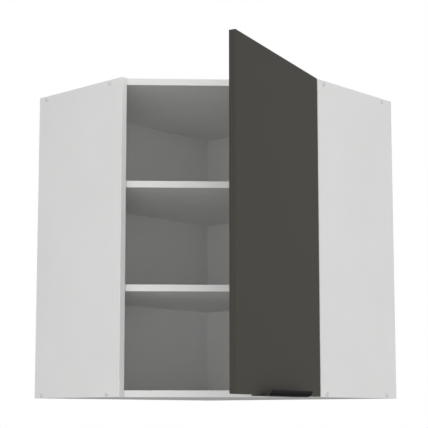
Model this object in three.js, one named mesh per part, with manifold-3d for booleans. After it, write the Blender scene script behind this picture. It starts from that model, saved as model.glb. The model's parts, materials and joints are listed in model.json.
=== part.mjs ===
// A corner wall cabinet with a diagonal front, one door, two shelves and an edge handle.
// Millimetres, +Z up. The two room walls are the planes x = 0 and y = 0, and the origin is the
// foot of the corner where they meet. The cabinet fills the side where x and y are negative.
import * as THREE from "three";
import { mergeVertices } from "three/addons/utils/BufferGeometryUtils.js";
import Module from "manifold-3d";

const wasm = await Module();
wasm.setup();

// ---------------------------------------------------------------- driving dimensions
// Carcass.
const wallRun = 600; // along each wall, from the corner to the outer face of a side panel
const sideDepth = 288; // a side panel, from the wall to its front edge
const cabinetHeight = 716;
const boardThickness = 15;
const thinBackThickness = 3;
const backRecess = 10; // both back panels stand off the walls by this much
const grooveDepth = 5;
const boardStepBack = 3; // top and bottom panels lie behind the front corners of the sides
const shelfStepBack = 10;
const shelfSideGap = 0.5;
const slip = 0.3; // gap between pieces that touch or run on each other
const shelfCount = 2;

// Screws between the side panels and the top and bottom panels, and their covers.
const leftScrewFromFront = 40;
const leftScrewFromWall = 26;
const rightScrewFromFront = 22.5;
const rightScrewFromWall = 39.5;
const screwLength = 50;
const screwRadius = 3.2;
const screwHeadRadius = 4.6;
const screwHeadLength = 4;
const screwHeadSunk = 1.8;
const screwSocketRadius = 2.2;
const screwSocketDepth = 3;
const coverRadius = 5.5;
const coverRise = 1.9;

// Shelf pins.
const shelfPinRadius = 2.5;
const shelfPinInBoard = 9;
const shelfPinOut = 8;
const leftPinsFromWall = [50, 240];
const rightPinsFromWall = [60, 240];

// Wall hangers in the upper rear corners.
const hangerHeight = 60;
const hangerDepth = 42;
const hangerWidth = 22;
const hangerTopGap = 4;
const hangerHollow = 3.5; // wall of the housing
const hookWidth = 12;
const hookThickness = 2.5;
const hookWallGap = 1.5;
const hookLip = 12;
const hookDrop = 16; // from the housing's top to the hook
const hookInside = 26; // how far the hook reaches into the housing

// Door.
const doorThickness = 15;
const doorEdgeGap = 1; // at either edge, to the front corners of the side panels
const doorBackGap = 1; // behind the closed door, to the plane of those corners
const doorTopGap = 1;
const doorBottomGap = 1;
const doorOpenDegrees = 60.7; // as stored

// Hinges. Places in the front frame are (along, out): along the closed door from the right side
// panel's inner front corner, and out of the cabinet from there.
const hingeInset = 100; // from the top and bottom of the cabinet to the hinges
const swingAxisAlong = -4.8;
const swingAxisOut = 7.9;
const armPinFromPanel = 15.2;
const armPinAhead = 3.9; // in front of the side panel's front edge
const leverPinSpacing = 7.5;
const hingePinRadius = 1.5;
const leverEyeRadius = 3.1;
const leverHalfWidth = 2.1;
const leverThickness = 3.3;
const leverLayerGap = 0.6; // between the two levers
const cheekClearance = 0.5; // from a lever to the cheeks outside it
const cheekThickness = 1.4;
const cupRadius = 17.2;
const cupWall = 1;
const cupDepth = 11.2;
const cupFromDoorEdge = 4.5;
const cupPinOffset = 7.5; // from the cup's middle towards the door's edge
const cupPinDepth = 4.5;
const cupNotchDepth = 5; // how far into the door the cup's wall is open, for the coupler's swing
const cupFlange = 1.2;
const cupFlangeRadius = 19.5;
const cupEarSpacing = 46;
const cupEarRadius = 6;
const plateFromFront = 37; // the plate's screws, from the side panel's front edge
const plateScrewSpacing = 32;
const plateWingThickness = 2.5;
const plateWingWidth = 14;
const plateWingLength = 46;
const railStart = 18;
const railEnd = 60;
const armBodyLow = 10;
const armBodyHigh = 16;
const armWeb = 1.5;
const plateScrewRadius = 2;
const plateScrewHeadRadius = 3.8;
const plateScrewLength = 13;

// Edge handle.
const handleLength = 210;
const handleThickness = 2.5;
const handleReach = 25.5; // in front of the door's face
const handleFlat = 12; // flat part of that reach
const handleTipHeight = 11; // above the cabinet's underside
const handleBelow = 1.5; // below the cabinet's underside
const handleFlangeTop = 27;
const handleScrewHeight = 20;
const handleScrewInset = 25; // from either end of the handle
const handleScrewRadius = 1.7;
const handleScrewHeadRadius = 3.4;
const handleScrewLength = 14;

// Soft stops on the back of the door.
const stopRadius = 4;
const stopFromDoorEdge = 12;

// ---------------------------------------------------------------- places worked out from them
const innerFace = wallRun - boardThickness; // a side panel's inner face, from the other wall
const frontCorners = -(innerFace + sideDepth); // x + y on the line through both inner front corners
const doorWidth = (innerFace - sideDepth) * Math.SQRT2 - 2 * doorEdgeGap;
const doorLow = doorBottomGap;
const doorHigh = cabinetHeight - doorTopGap;
const doorFront = doorBackGap + doorThickness;
const clearHeight = cabinetHeight - 2 * boardThickness;
const bayHeight = (clearHeight - shelfCount * boardThickness) / (shelfCount + 1);
const thinBackFace = backRecess + thinBackThickness;
const thickBackFace = backRecess + boardThickness;
const frontTurn = THREE.MathUtils.degToRad(135); // the front frame's first axis, from +X
const doorOpen = THREE.MathUtils.degToRad(doorOpenDegrees);
const roundSteps = 20; // sides of a round piece
const smallSteps = 12; // sides of a small one

// ---------------------------------------------------------------- finishes
function finish(name, color, roughness, metalness = 0) {
  const material = new THREE.MeshStandardMaterial({ color, roughness, metalness });
  material.name = name;
  return material;
}

const whiteBoard = () => finish("white foiled board", 0xe9e9e6, 0.45);
const whiteThin = () => finish("white lacquered fibreboard", 0xe2e2df, 0.55);
const greyDoor = () => finish("dark grey lacquer", 0x4b4a45, 0.5);
const blackHandle = () => finish("black anodised aluminium", 0x1c1c1c, 0.4, 0.6);
const whitePlastic = () => finish("white plastic", 0xeeeeea, 0.4);
const clearSoft = () => finish("soft clear plastic", 0xc9cbc8, 0.6);
const steel = () => finish("zinc-plated steel", 0xb9bcc0, 0.35, 0.9);
const nickel = () => finish("nickel-plated steel", 0xc6c7c5, 0.25, 0.95);

// ---------------------------------------------------------------- solids
function toSolid(geometry) {
  const bare = geometry.clone();
  bare.deleteAttribute("normal");
  bare.deleteAttribute("uv");
  const merged = mergeVertices(bare, 1e-4);
  return new wasm.Manifold(
    new wasm.Mesh({
      numProp: 3,
      vertProperties: new Float32Array(merged.attributes.position.array),
      triVerts: new Uint32Array(merged.index.array),
    }),
  );
}

function toGeometry(solid) {
  const mesh = solid.getMesh();
  const geometry = new THREE.BufferGeometry();
  geometry.setAttribute("position", new THREE.BufferAttribute(mesh.vertProperties, 3));
  geometry.setIndex(new THREE.BufferAttribute(mesh.triVerts, 1));
  geometry.computeVertexNormals();
  return geometry;
}

function joined(first, ...others) {
  return toGeometry(others.reduce((sum, other) => sum.add(toSolid(other)), toSolid(first)));
}

function cutBy(geometry, tools) {
  return toGeometry(tools.reduce((rest, tool) => rest.subtract(toSolid(tool)), toSolid(geometry)));
}

// A block between two corners.
function block([x0, y0, z0], [x1, y1, z1]) {
  const geometry = new THREE.BoxGeometry(x1 - x0, y1 - y0, z1 - z0);
  return geometry.translate((x0 + x1) / 2, (y0 + y1) / 2, (z0 + z1) / 2);
}

// A flat outline in plan, raised from z0 to z1.
function raised(shape, z0, z1) {
  const depth = z1 - z0;
  const curveSegments = smallSteps / 2; // an arc gets twice this number of steps
  const geometry = new THREE.ExtrudeGeometry(shape, { depth, bevelEnabled: false, curveSegments });
  return geometry.translate(0, 0, z0);
}

function outline(points) {
  return new THREE.Shape(points.map(([x, y]) => new THREE.Vector2(x, y)));
}

// An upright cylinder.
function post(radius, x, y, z0, z1, steps = smallSteps) {
  const geometry = new THREE.CylinderGeometry(radius, radius, z1 - z0, steps);
  return geometry.rotateX(Math.PI / 2).translate(x, y, (z0 + z1) / 2);
}

// A turned profile, [radius, distance] from its outer end, that starts and ends on the axis.
function turned(profile, steps = smallSteps) {
  return new THREE.LatheGeometry(profile.map(([r, s]) => new THREE.Vector2(r, s)), steps);
}

// The straight bar between two eyes at (0, 0) and (length, 0).
function barOutline(length, eyeRadius, halfWidth) {
  const edge = Math.asin(halfWidth / eyeRadius);
  const shape = new THREE.Shape();
  shape.absarc(0, 0, eyeRadius, edge, 2 * Math.PI - edge);
  shape.absarc(length, 0, eyeRadius, Math.PI + edge, 3 * Math.PI - edge);
  return shape;
}

function eye(x, radius) {
  const hole = new THREE.Path();
  hole.absarc(x, 0, radius, 0, 2 * Math.PI, true);
  return hole;
}

const cabinet = new THREE.Group();

function place(parent, name, geometry, material, [x, y, z] = [0, 0, 0], turn = 0) {
  const mesh = new THREE.Mesh(geometry, material);
  mesh.name = name;
  mesh.position.set(x, y, z);
  mesh.rotation.z = turn;
  parent.add(mesh);
  return mesh;
}

// ---------------------------------------------------------------- connecting screws and covers
// The profiles run from the side panel's outer face, at 0, inwards.
function connectingScrew() {
  const headEnd = screwHeadSunk + screwHeadLength;
  return turned([
    [0, screwHeadSunk + screwSocketDepth],
    [screwSocketRadius, screwHeadSunk + screwSocketDepth],
    [screwSocketRadius, screwHeadSunk],
    [screwHeadRadius, screwHeadSunk],
    [screwHeadRadius, headEnd],
    [screwRadius, headEnd + screwHeadRadius - screwRadius],
    [screwRadius, screwLength - screwRadius],
    [0, screwLength],
  ]);
}

function connectingHole() {
  const mouth = 1; // the cutting shape starts outside the board
  const recess = screwHeadSunk + screwHeadLength + slip;
  return turned([
    [0, -mouth],
    [screwHeadRadius + slip, -mouth],
    [screwHeadRadius + slip, recess],
    [screwRadius + slip, recess + screwHeadRadius - screwRadius],
    [screwRadius + slip, screwLength + slip],
    [0, screwLength + slip],
  ]);
}

// A domed cover that lies on the board, with a peg in the screw's socket.
function screwCover() {
  const pegRadius = screwSocketRadius - slip;
  const pegEnd = screwHeadSunk + screwSocketDepth - slip;
  const domeSteps = 5;
  const rim = 0.5;
  const dome = [];
  for (let i = 0; i <= domeSteps; i += 1) {
    const angle = (i / domeSteps) * (Math.PI / 2);
    dome.push([coverRadius * Math.sin(angle), -rim - (coverRise - rim) * Math.cos(angle)]);
  }
  dome[0][0] = 0;
  return turned([...dome, [coverRadius, 0], [pegRadius, 0], [pegRadius, pegEnd], [0, pegEnd]], roundSteps);
}

const screwHeights = [boardThickness / 2, cabinetHeight - boardThickness / 2];
const alongX = -Math.PI / 2; // turns a profile's +Y to +X
const leftScrewSpots = [leftScrewFromWall, sideDepth - leftScrewFromFront];
const rightScrewSpots = [rightScrewFromWall, sideDepth - rightScrewFromFront];
const screwPlaces = [];
for (const z of screwHeights) {
  for (const fromWall of leftScrewSpots) {
    screwPlaces.push({ at: [-wallRun, -fromWall, z], turn: alongX });
  }
  for (const fromWall of rightScrewSpots) {
    screwPlaces.push({ at: [-fromWall, -wallRun, z], turn: 0 });
  }
}

function connectingHoles() {
  return screwPlaces.map(({ at, turn }) => connectingHole().rotateZ(turn).translate(...at));
}

screwPlaces.forEach(({ at, turn }, i) => {
  place(cabinet, `corner_screw_${i + 1}`, connectingScrew(), steel(), at, turn);
  place(cabinet, `screw_cover_${i + 1}`, screwCover(), whitePlastic(), at, turn);
});

// ---------------------------------------------------------------- shelves and their pins
const shelfBottoms = [];
for (let i = 1; i <= shelfCount; i += 1) {
  shelfBottoms.push(boardThickness + i * bayHeight + (i - 1) * boardThickness);
}

function shelfPin() {
  const nose = 0.6;
  return turned([
    [0, -shelfPinInBoard],
    [shelfPinRadius, -shelfPinInBoard],
    [shelfPinRadius, shelfPinOut - nose],
    [shelfPinRadius - nose, shelfPinOut],
    [0, shelfPinOut],
  ]);
}

function shelfPinHole() {
  const radius = shelfPinRadius + slip;
  const deep = shelfPinInBoard + slip;
  const past = 1;
  return turned([
    [0, -deep],
    [radius, -deep],
    [radius, past],
    [0, past],
  ]);
}

const pinPlaces = [];
for (const bottom of shelfBottoms) {
  const z = bottom - slip - shelfPinRadius;
  for (const fromWall of leftPinsFromWall) {
    pinPlaces.push({ at: [-innerFace, -fromWall, z], turn: alongX });
  }
  for (const fromWall of rightPinsFromWall) {
    pinPlaces.push({ at: [-fromWall, -innerFace, z], turn: 0 });
  }
}

function shelfPinHoles() {
  return pinPlaces.map(({ at, turn }) => shelfPinHole().rotateZ(turn).translate(...at));
}

pinPlaces.forEach(({ at, turn }, i) => {
  place(cabinet, `shelf_pin_${i + 1}`, shelfPin(), steel(), at, turn);
});

// The five-sided outline of a board whose front edge lies stepBack behind the front corners.
function fiveSided(stepBack, sideGap, leftBack, rightBack) {
  const side = innerFace - sideGap;
  const front = frontCorners + stepBack * Math.SQRT2;
  return outline([
    [-side, front + side],
    [front + side, -side],
    [-rightBack, -side],
    [-rightBack, -leftBack],
    [-side, -leftBack],
  ]);
}

const shelfNames = ["lower_shelf", "upper_shelf"];
shelfBottoms.forEach((bottom, i) => {
  const leftBack = thinBackFace + shelfSideGap;
  const rightBack = thickBackFace + shelfSideGap;
  const plan = fiveSided(shelfStepBack, shelfSideGap, leftBack, rightBack);
  const geometry = raised(plan, bottom, bottom + boardThickness);
  place(cabinet, shelfNames[i], geometry, whiteBoard());
});

// ---------------------------------------------------------------- hinge places
// The front frame: its origin is the right side panel's inner front corner.
const frontFrame = new THREE.Group();
frontFrame.position.set(-sideDepth, -innerFace, 0);
frontFrame.rotation.z = frontTurn;
cabinet.add(frontFrame);

const swingAxis = new THREE.Vector2(swingAxisAlong, swingAxisOut);
const cupMiddle = doorEdgeGap + cupFromDoorEdge + cupRadius + slip;
const cupPin = new THREE.Vector2(cupMiddle - cupPinOffset, doorBackGap + cupPinDepth);
const armPin = new THREE.Vector2(
  (armPinFromPanel + armPinAhead) / Math.SQRT2,
  (armPinAhead - armPinFromPanel) / Math.SQRT2,
);
// Two equal levers stand parallel, and a coupler that never turns carries the cup's pin, so the
// cup goes round the swing axis, which has no pin of its own.
const leverSpan = cupPin.clone().sub(swingAxis);
const couplerSpan = armPin.clone().sub(swingAxis);
const innerArmPin = armPin.clone().sub(couplerSpan.clone().setLength(leverPinSpacing));
const leverLength = leverSpan.length();
const couplerLength = couplerSpan.length();
const leverInner = leverLayerGap / 2;
const leverOuter = leverInner + leverThickness;
const cheekInner = leverOuter + cheekClearance;
const cheekOuter = cheekInner + cheekThickness;
const runningClearance = 0.2;
const hingeHeights = { lower: hingeInset, upper: cabinetHeight - hingeInset };

// From the front frame to distances behind the panel's front edge and off its inner face.
function besidePanel(pin) {
  return [-(pin.x + pin.y) / Math.SQRT2, (pin.x - pin.y) / Math.SQRT2];
}

// ---------------------------------------------------------------- hinge pieces
function plateScrew() {
  const head = plateScrewHeadRadius - plateScrewRadius;
  return turned([
    [0, -plateScrewLength],
    [plateScrewRadius, plateScrewRadius - plateScrewLength],
    [plateScrewRadius, -head],
    [plateScrewHeadRadius, 0],
    [0, 0],
  ]);
}

function plateScrewHole(extra) {
  const head = plateScrewHeadRadius - plateScrewRadius;
  const above = 1;
  return turned([
    [0, -plateScrewLength - extra],
    [plateScrewRadius + slip, -plateScrewLength - extra],
    [plateScrewRadius + slip, -head - slip],
    [plateScrewHeadRadius + slip, 0],
    [plateScrewHeadRadius + slip, above],
    [0, above],
  ]);
}

const plateScrewPlaces = [];
for (const [level, z] of Object.entries(hingeHeights)) {
  for (const [end, side] of [["low", -1], ["high", 1]]) {
    const at = [
      plateFromFront - sideDepth,
      plateWingThickness + slip - innerFace,
      z + (side * plateScrewSpacing) / 2,
    ];
    plateScrewPlaces.push({ name: `${level}_hinge_screw_${end}`, at });
  }
}

function plateScrewHoles() {
  return plateScrewPlaces.map(({ at }) => plateScrewHole(slip).translate(...at));
}

// The plate lies on the side panel; its rail stands inside the arm.
function hingePlate() {
  const railHalf = cheekInner - slip;
  const railTop = armBodyHigh - armWeb - slip;
  const wing = block(
    [plateFromFront - plateWingWidth / 2, slip, -plateWingLength / 2],
    [plateFromFront + plateWingWidth / 2, slip + plateWingThickness, plateWingLength / 2],
  );
  const rail = block([railStart, slip, -railHalf], [railEnd, railTop, railHalf]);
  const holes = [-1, 1].map((side) =>
    plateScrewHole(slip).translate(
      plateFromFront,
      slip + plateWingThickness,
      (side * plateScrewSpacing) / 2,
    ),
  );
  return cutBy(joined(wing, rail), holes);
}

// Two cheeks and a web, with the two fixed pins across the nose.
function hingeArm() {
  const [outerX, outerY] = besidePanel(armPin);
  const [innerX, innerY] = besidePanel(innerArmPin);
  const r = leverEyeRadius;
  const side = new THREE.Shape();
  side.moveTo(railEnd, armBodyLow);
  side.lineTo(innerX + 3 * r, armBodyLow);
  side.lineTo(innerX + r, innerY - r / 2);
  side.absarc(innerX, innerY, r, -Math.PI / 6, -Math.PI, true);
  side.absarc(outerX, outerY, r, Math.PI, Math.PI / 2, true);
  side.lineTo(railStart, armBodyHigh);
  side.lineTo(railEnd, armBodyHigh);
  side.closePath();
  return joined(
    raised(side, cheekInner, cheekOuter),
    raised(side, -cheekOuter, -cheekInner),
    block([railStart, armBodyHigh - armWeb, -cheekOuter], [railEnd, armBodyHigh, cheekOuter]),
    post(hingePinRadius, outerX, outerY, -cheekOuter, cheekOuter),
    post(hingePinRadius, innerX, innerY, -cheekOuter, cheekOuter),
  );
}

function hingeLever(z0, z1) {
  const shape = barOutline(leverLength, leverEyeRadius, leverHalfWidth);
  const hole = hingePinRadius + runningClearance;
  shape.holes.push(eye(0, hole), eye(leverLength, hole));
  return raised(shape, z0, z1);
}

// Two cheeks outside the levers, a bush round the cup's pin, and the levers' two far pins.
function hingeCoupler() {
  const hole = hingePinRadius + runningClearance;
  const cheek = barOutline(couplerLength, leverEyeRadius, leverHalfWidth);
  cheek.holes.push(eye(0, hole));
  const bush = new THREE.Shape();
  bush.absarc(0, 0, leverEyeRadius, 0, 2 * Math.PI);
  bush.holes.push(eye(0, hole));
  const innerPin = couplerLength - leverPinSpacing;
  return joined(
    raised(cheek, cheekInner, cheekOuter),
    raised(cheek, -cheekOuter, -cheekInner),
    raised(bush, -cheekOuter, cheekOuter),
    post(hingePinRadius, couplerLength, 0, -cheekOuter, cheekOuter),
    post(hingePinRadius, innerPin, 0, -cheekOuter, cheekOuter),
  );
}

// The cup, with its mouth at out = 0 and its floor further out, in the door.
function hingeCup() {
  const flangeBack = -cupFlange;
  const inner = cupRadius - cupWall;
  const bowl = turned(
    [
      [0, cupDepth],
      [0, cupDepth - cupWall],
      [inner, cupDepth - cupWall],
      [inner, flangeBack],
      [cupFlangeRadius, flangeBack],
      [cupFlangeRadius, -slip],
      [cupRadius, -slip],
      [cupRadius, cupDepth],
      [0, cupDepth],
    ],
    roundSteps,
  );
  const earHole = new THREE.CylinderGeometry(inner, inner, cupFlange * 3, roundSteps);
  const bar = block(
    [-cupEarRadius, flangeBack, -cupEarSpacing / 2],
    [cupEarRadius, -slip, cupEarSpacing / 2],
  );
  const ears = [-1, 1].map((side) => {
    const ear = new THREE.CylinderGeometry(cupEarRadius, cupEarRadius, cupFlange - slip, roundSteps);
    return ear.translate(0, (flangeBack - slip) / 2, (side * cupEarSpacing) / 2);
  });
  const plate = cutBy(joined(bar, ...ears), [earHole]);
  const slotHalf = cheekOuter + 2 * slip;
  const slot = block(
    [-cupFlangeRadius - 1, -cupDepth, -slotHalf],
    [-inner / 2, cupNotchDepth, slotHalf],
  );
  const pinHalf = Math.sqrt(inner ** 2 - cupPinOffset ** 2) + cupWall / 2;
  const pin = post(hingePinRadius, -cupPinOffset, cupPinDepth, -pinHalf, pinHalf);
  return joined(cutBy(joined(bowl, plate), [slot]), pin);
}

for (const { name, at } of plateScrewPlaces) {
  place(cabinet, name, plateScrew(), steel(), at);
}

// Everything on the door turns about the swing axis, in the front frame.
const door = new THREE.Group();
door.position.set(swingAxisAlong, swingAxisOut, 0);
door.rotation.z = doorOpen;
frontFrame.add(door);

// From the front frame, with the door closed, to the door group.
function onDoor(along, out, z = 0) {
  return [along - swingAxisAlong, out - swingAxisOut, z];
}

for (const [level, z] of Object.entries(hingeHeights)) {
  const panelCorner = [-sideDepth, -innerFace, z];
  place(cabinet, `${level}_hinge_plate`, hingePlate(), nickel(), panelCorner);
  place(cabinet, `${level}_hinge_arm`, hingeArm(), nickel(), panelCorner);
  const leverTurn = leverSpan.angle() + doorOpen;
  const outerLever = hingeLever(leverInner, leverOuter);
  place(frontFrame, `${level}_outer_lever`, outerLever, nickel(), [armPin.x, armPin.y, z], leverTurn);
  const innerLever = hingeLever(-leverOuter, -leverInner);
  const innerAt = [innerArmPin.x, innerArmPin.y, z];
  place(frontFrame, `${level}_inner_lever`, innerLever, nickel(), innerAt, leverTurn);
  const couplerTurn = couplerSpan.angle() - doorOpen;
  const couplerAt = onDoor(cupPin.x, cupPin.y, z);
  place(door, `${level}_coupler`, hingeCoupler(), nickel(), couplerAt, couplerTurn);
  place(door, `${level}_hinge_cup`, hingeCup(), nickel(), onDoor(cupMiddle, doorBackGap, z));
}

// ---------------------------------------------------------------- door
const doorFarEdge = doorEdgeGap + doorWidth;
const doorMiddle = doorEdgeGap + doorWidth / 2;
const handleScrewReach = handleLength / 2 - handleScrewInset; // from the handle's middle
const handleScrewSpots = [-1, 1].map((side) => doorMiddle + side * handleScrewReach);
const flangeBack = doorBackGap - slip - handleThickness;

// Countersunk, from the flange's back into the door, along +Y.
function handleScrew() {
  const head = handleScrewHeadRadius - handleScrewRadius;
  return turned([
    [0, 0],
    [handleScrewHeadRadius, 0],
    [handleScrewRadius, head],
    [handleScrewRadius, handleScrewLength - handleScrewRadius],
    [0, handleScrewLength],
  ]);
}

function handleScrewHole() {
  const head = handleScrewHeadRadius - handleScrewRadius;
  const outside = 1;
  return turned([
    [0, -outside],
    [handleScrewHeadRadius + slip, -outside],
    [handleScrewHeadRadius + slip, 0],
    [handleScrewRadius + slip, head],
    [handleScrewRadius + slip, handleScrewLength + slip],
    [0, handleScrewLength + slip],
  ]);
}

function doorPanel() {
  const slab = block(
    onDoor(doorEdgeGap, doorBackGap, doorLow),
    onDoor(doorFarEdge, doorFront, doorHigh),
  );
  const cupHole = (z) => {
    const deep = cupDepth + slip;
    const past = 1;
    const hole = new THREE.CylinderGeometry(cupRadius + slip, cupRadius + slip, deep + past, roundSteps);
    return hole.translate(...onDoor(cupMiddle, doorBackGap + (deep - past) / 2, z));
  };
  const screwHoles = handleScrewSpots.map((along) =>
    handleScrewHole().translate(...onDoor(along, flangeBack, handleScrewHeight)),
  );
  return cutBy(slab, [...Object.values(hingeHeights).map(cupHole), ...screwHoles]);
}

place(door, "door_panel", doorPanel(), greyDoor());

// ---------------------------------------------------------------- handle
// The section, as (out, height): a flange behind the door, a flat base under it and a curled lip.
function handleSection() {
  const bottom = -handleBelow;
  const flatEnd = doorFront + handleFlat;
  const outer = handleReach - handleFlat;
  const inner = outer - handleThickness;
  const centreHeight = bottom + outer;
  const tipTurn = Math.asin((handleTipHeight - centreHeight) / outer);
  const shape = new THREE.Shape();
  shape.moveTo(flangeBack, handleFlangeTop);
  shape.lineTo(flangeBack, bottom);
  shape.lineTo(flatEnd, bottom);
  shape.absarc(flatEnd, centreHeight, outer, -Math.PI / 2, tipTurn);
  shape.absarc(flatEnd, centreHeight, inner, tipTurn, -Math.PI / 2, true);
  shape.lineTo(flangeBack + handleThickness, doorBottomGap - slip);
  shape.lineTo(flangeBack + handleThickness, handleFlangeTop);
  shape.closePath();
  return shape;
}

function handleProfile() {
  const start = doorMiddle - handleLength / 2;
  const options = { depth: handleLength, bevelEnabled: false, curveSegments: smallSteps / 2 };
  const bar = new THREE.ExtrudeGeometry(handleSection(), options);
  const outToY = new THREE.Matrix4().makeBasis(
    new THREE.Vector3(0, 1, 0),
    new THREE.Vector3(0, 0, 1),
    new THREE.Vector3(1, 0, 0),
  );
  bar.applyMatrix4(outToY).translate(...onDoor(start, 0));
  const screwHoles = handleScrewSpots.map((along) =>
    handleScrewHole().translate(...onDoor(along, flangeBack, handleScrewHeight)),
  );
  return cutBy(bar, screwHoles);
}

place(door, "edge_handle", handleProfile(), blackHandle());
handleScrewSpots.forEach((along, i) => {
  const at = onDoor(along, flangeBack, handleScrewHeight);
  place(door, `handle_screw_${i + 1}`, handleScrew(), steel(), at);
});

// ---------------------------------------------------------------- soft stops
// They meet the front edges of the top and bottom panels when the door is closed.
function softStop() {
  const thickness = boardStepBack + doorBackGap - 2 * slip;
  const disc = new THREE.CylinderGeometry(stopRadius, stopRadius * 0.9, thickness, roundSteps);
  return disc.translate(0, -thickness / 2 - slip, 0);
}

[["lower_door_stop", screwHeights[0]], ["upper_door_stop", screwHeights[1]]].forEach(([name, z]) => {
  const at = onDoor(doorFarEdge - stopFromDoorEdge, doorBackGap, z);
  place(door, name, softStop(), clearSoft(), at);
});

// ---------------------------------------------------------------- wall hangers
// Worked out for the left wall, at y = 0, with the side panel's inner face at x = 0; the right
// one is the same piece turned over to the other wall.
const hangerTop = cabinetHeight - boardThickness - hangerTopGap;
const hookHeight = hangerTop - hookDrop;
const hangerNotchGap = 1.5;

function hangerHousing(backFace) {
  const shell = block(
    [slip, -backFace - hangerDepth, hangerTop - hangerHeight],
    [hangerWidth, -backFace - slip, hangerTop],
  );
  const hollow = block(
    [slip + hangerHollow, -backFace - hangerDepth - 1, hangerTop - hangerHeight + hangerHollow],
    [hangerWidth - hangerHollow, -backFace - hangerHollow, hangerTop - hangerHollow],
  );
  const middle = (slip + hangerWidth) / 2;
  const mouth = block(
    [middle - hookWidth / 2 - slip, -backFace - hangerHollow - 1, hookHeight - slip],
    [middle + hookWidth / 2 + slip, -backFace + 1, hookHeight + hookThickness + slip],
  );
  return cutBy(shell, [hollow, mouth]);
}

function hangerHook(backFace) {
  const middle = (slip + hangerWidth) / 2;
  const left = middle - hookWidth / 2;
  const right = middle + hookWidth / 2;
  const tongue = block(
    [left, -backFace - hookInside, hookHeight],
    [right, -hookWallGap, hookHeight + hookThickness],
  );
  const lip = block(
    [left, -hookWallGap - hookThickness, hookHeight - hookLip],
    [right, -hookWallGap, hookHeight + hookThickness],
  );
  return joined(tongue, lip);
}

// The notch in the back panel that the hook passes through.
function hangerNotch(backFace) {
  const middle = (slip + hangerWidth) / 2;
  return block(
    [middle - hookWidth / 2 - hangerNotchGap, -backFace - 1, hookHeight - hookLip - hangerNotchGap],
    [middle + hookWidth / 2 + hangerNotchGap, 0, hookHeight + hookThickness + hangerNotchGap],
  );
}

// Left: moved to the left panel's inner face. Right: its x and y change places, so it is built
// turned round and its width runs from the right panel's inner face.
const toLeft = new THREE.Matrix4().makeTranslation(-innerFace, 0, 0);
const toRight = new THREE.Matrix4().makeRotationZ(-Math.PI / 2);
toRight.setPosition(0, -innerFace + slip + hangerWidth, 0);

function hangerPair(name, backFace, move) {
  place(cabinet, `${name}_hanger_housing`, hangerHousing(backFace).applyMatrix4(move), whitePlastic());
  place(cabinet, `${name}_hanger_hook`, hangerHook(backFace).applyMatrix4(move), steel());
}

hangerPair("left", thinBackFace, toLeft);
hangerPair("right", thickBackFace, toRight);

// ---------------------------------------------------------------- back panels
const grooveFront = thinBackFace + slip;
const grooveBack = backRecess - slip;

// The groove's cutting shape round the thin back, let into the four boards that hold it.
function thinBackGroove() {
  return block(
    [-innerFace - grooveDepth, -grooveFront, boardThickness - grooveDepth],
    [-thickBackFace + grooveDepth, -grooveBack, cabinetHeight - boardThickness + grooveDepth],
  );
}

function thinBack() {
  return block(
    [-innerFace - grooveDepth + slip, -thinBackFace, boardThickness - grooveDepth + slip],
    [-thickBackFace + grooveDepth - slip, -backRecess, cabinetHeight - boardThickness + grooveDepth - slip],
  );
}

const leftBack = cutBy(thinBack(), [hangerNotch(thinBackFace).applyMatrix4(toLeft)]);
place(cabinet, "left_back_panel", leftBack, whiteThin());

const rightBack = block(
  [-thickBackFace, -innerFace, boardThickness],
  [-backRecess, 0, cabinetHeight - boardThickness],
);
const rightBackCuts = [thinBackGroove(), hangerNotch(thickBackFace).applyMatrix4(toRight)];
place(cabinet, "right_back_panel", cutBy(rightBack, rightBackCuts), whiteBoard());

// ---------------------------------------------------------------- top, bottom and side panels
const sidePanels = {
  left_side_panel: block([-wallRun, -sideDepth, 0], [-innerFace, 0, cabinetHeight]),
  right_side_panel: block([-sideDepth, -wallRun, 0], [0, -innerFace, cabinetHeight]),
};
for (const [name, slab] of Object.entries(sidePanels)) {
  const cuts = [...connectingHoles(), ...shelfPinHoles(), ...plateScrewHoles(), thinBackGroove()];
  place(cabinet, name, cutBy(slab, cuts), whiteBoard());
}

const endPanels = { bottom_panel: 0, top_panel: cabinetHeight - boardThickness };
for (const [name, z] of Object.entries(endPanels)) {
  const slab = raised(fiveSided(boardStepBack, 0, 0, 0), z, z + boardThickness);
  place(cabinet, name, cutBy(slab, [...connectingHoles(), thinBackGroove()]), whiteBoard());
}

export default cabinet;
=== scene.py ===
"""A corner wall cabinet with a diagonal front and one dark door, dressed for rendering.

Every board, cap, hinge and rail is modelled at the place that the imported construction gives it,
with softened edges, edge bands, bores and grooves, and is given its own procedural finish.
Metres, +Z up. The two room walls are the planes x = 0 and y = 0; the cabinet lies where x and y
are negative, and its diagonal front faces -X and -Y.
"""
import json
import logging
import math
from collections.abc import Callable, Iterable, Iterator, Sequence
from contextlib import contextmanager
from dataclasses import dataclass
from enum import Enum

import bmesh
import bpy
from mathutils import Matrix, Vector


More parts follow.
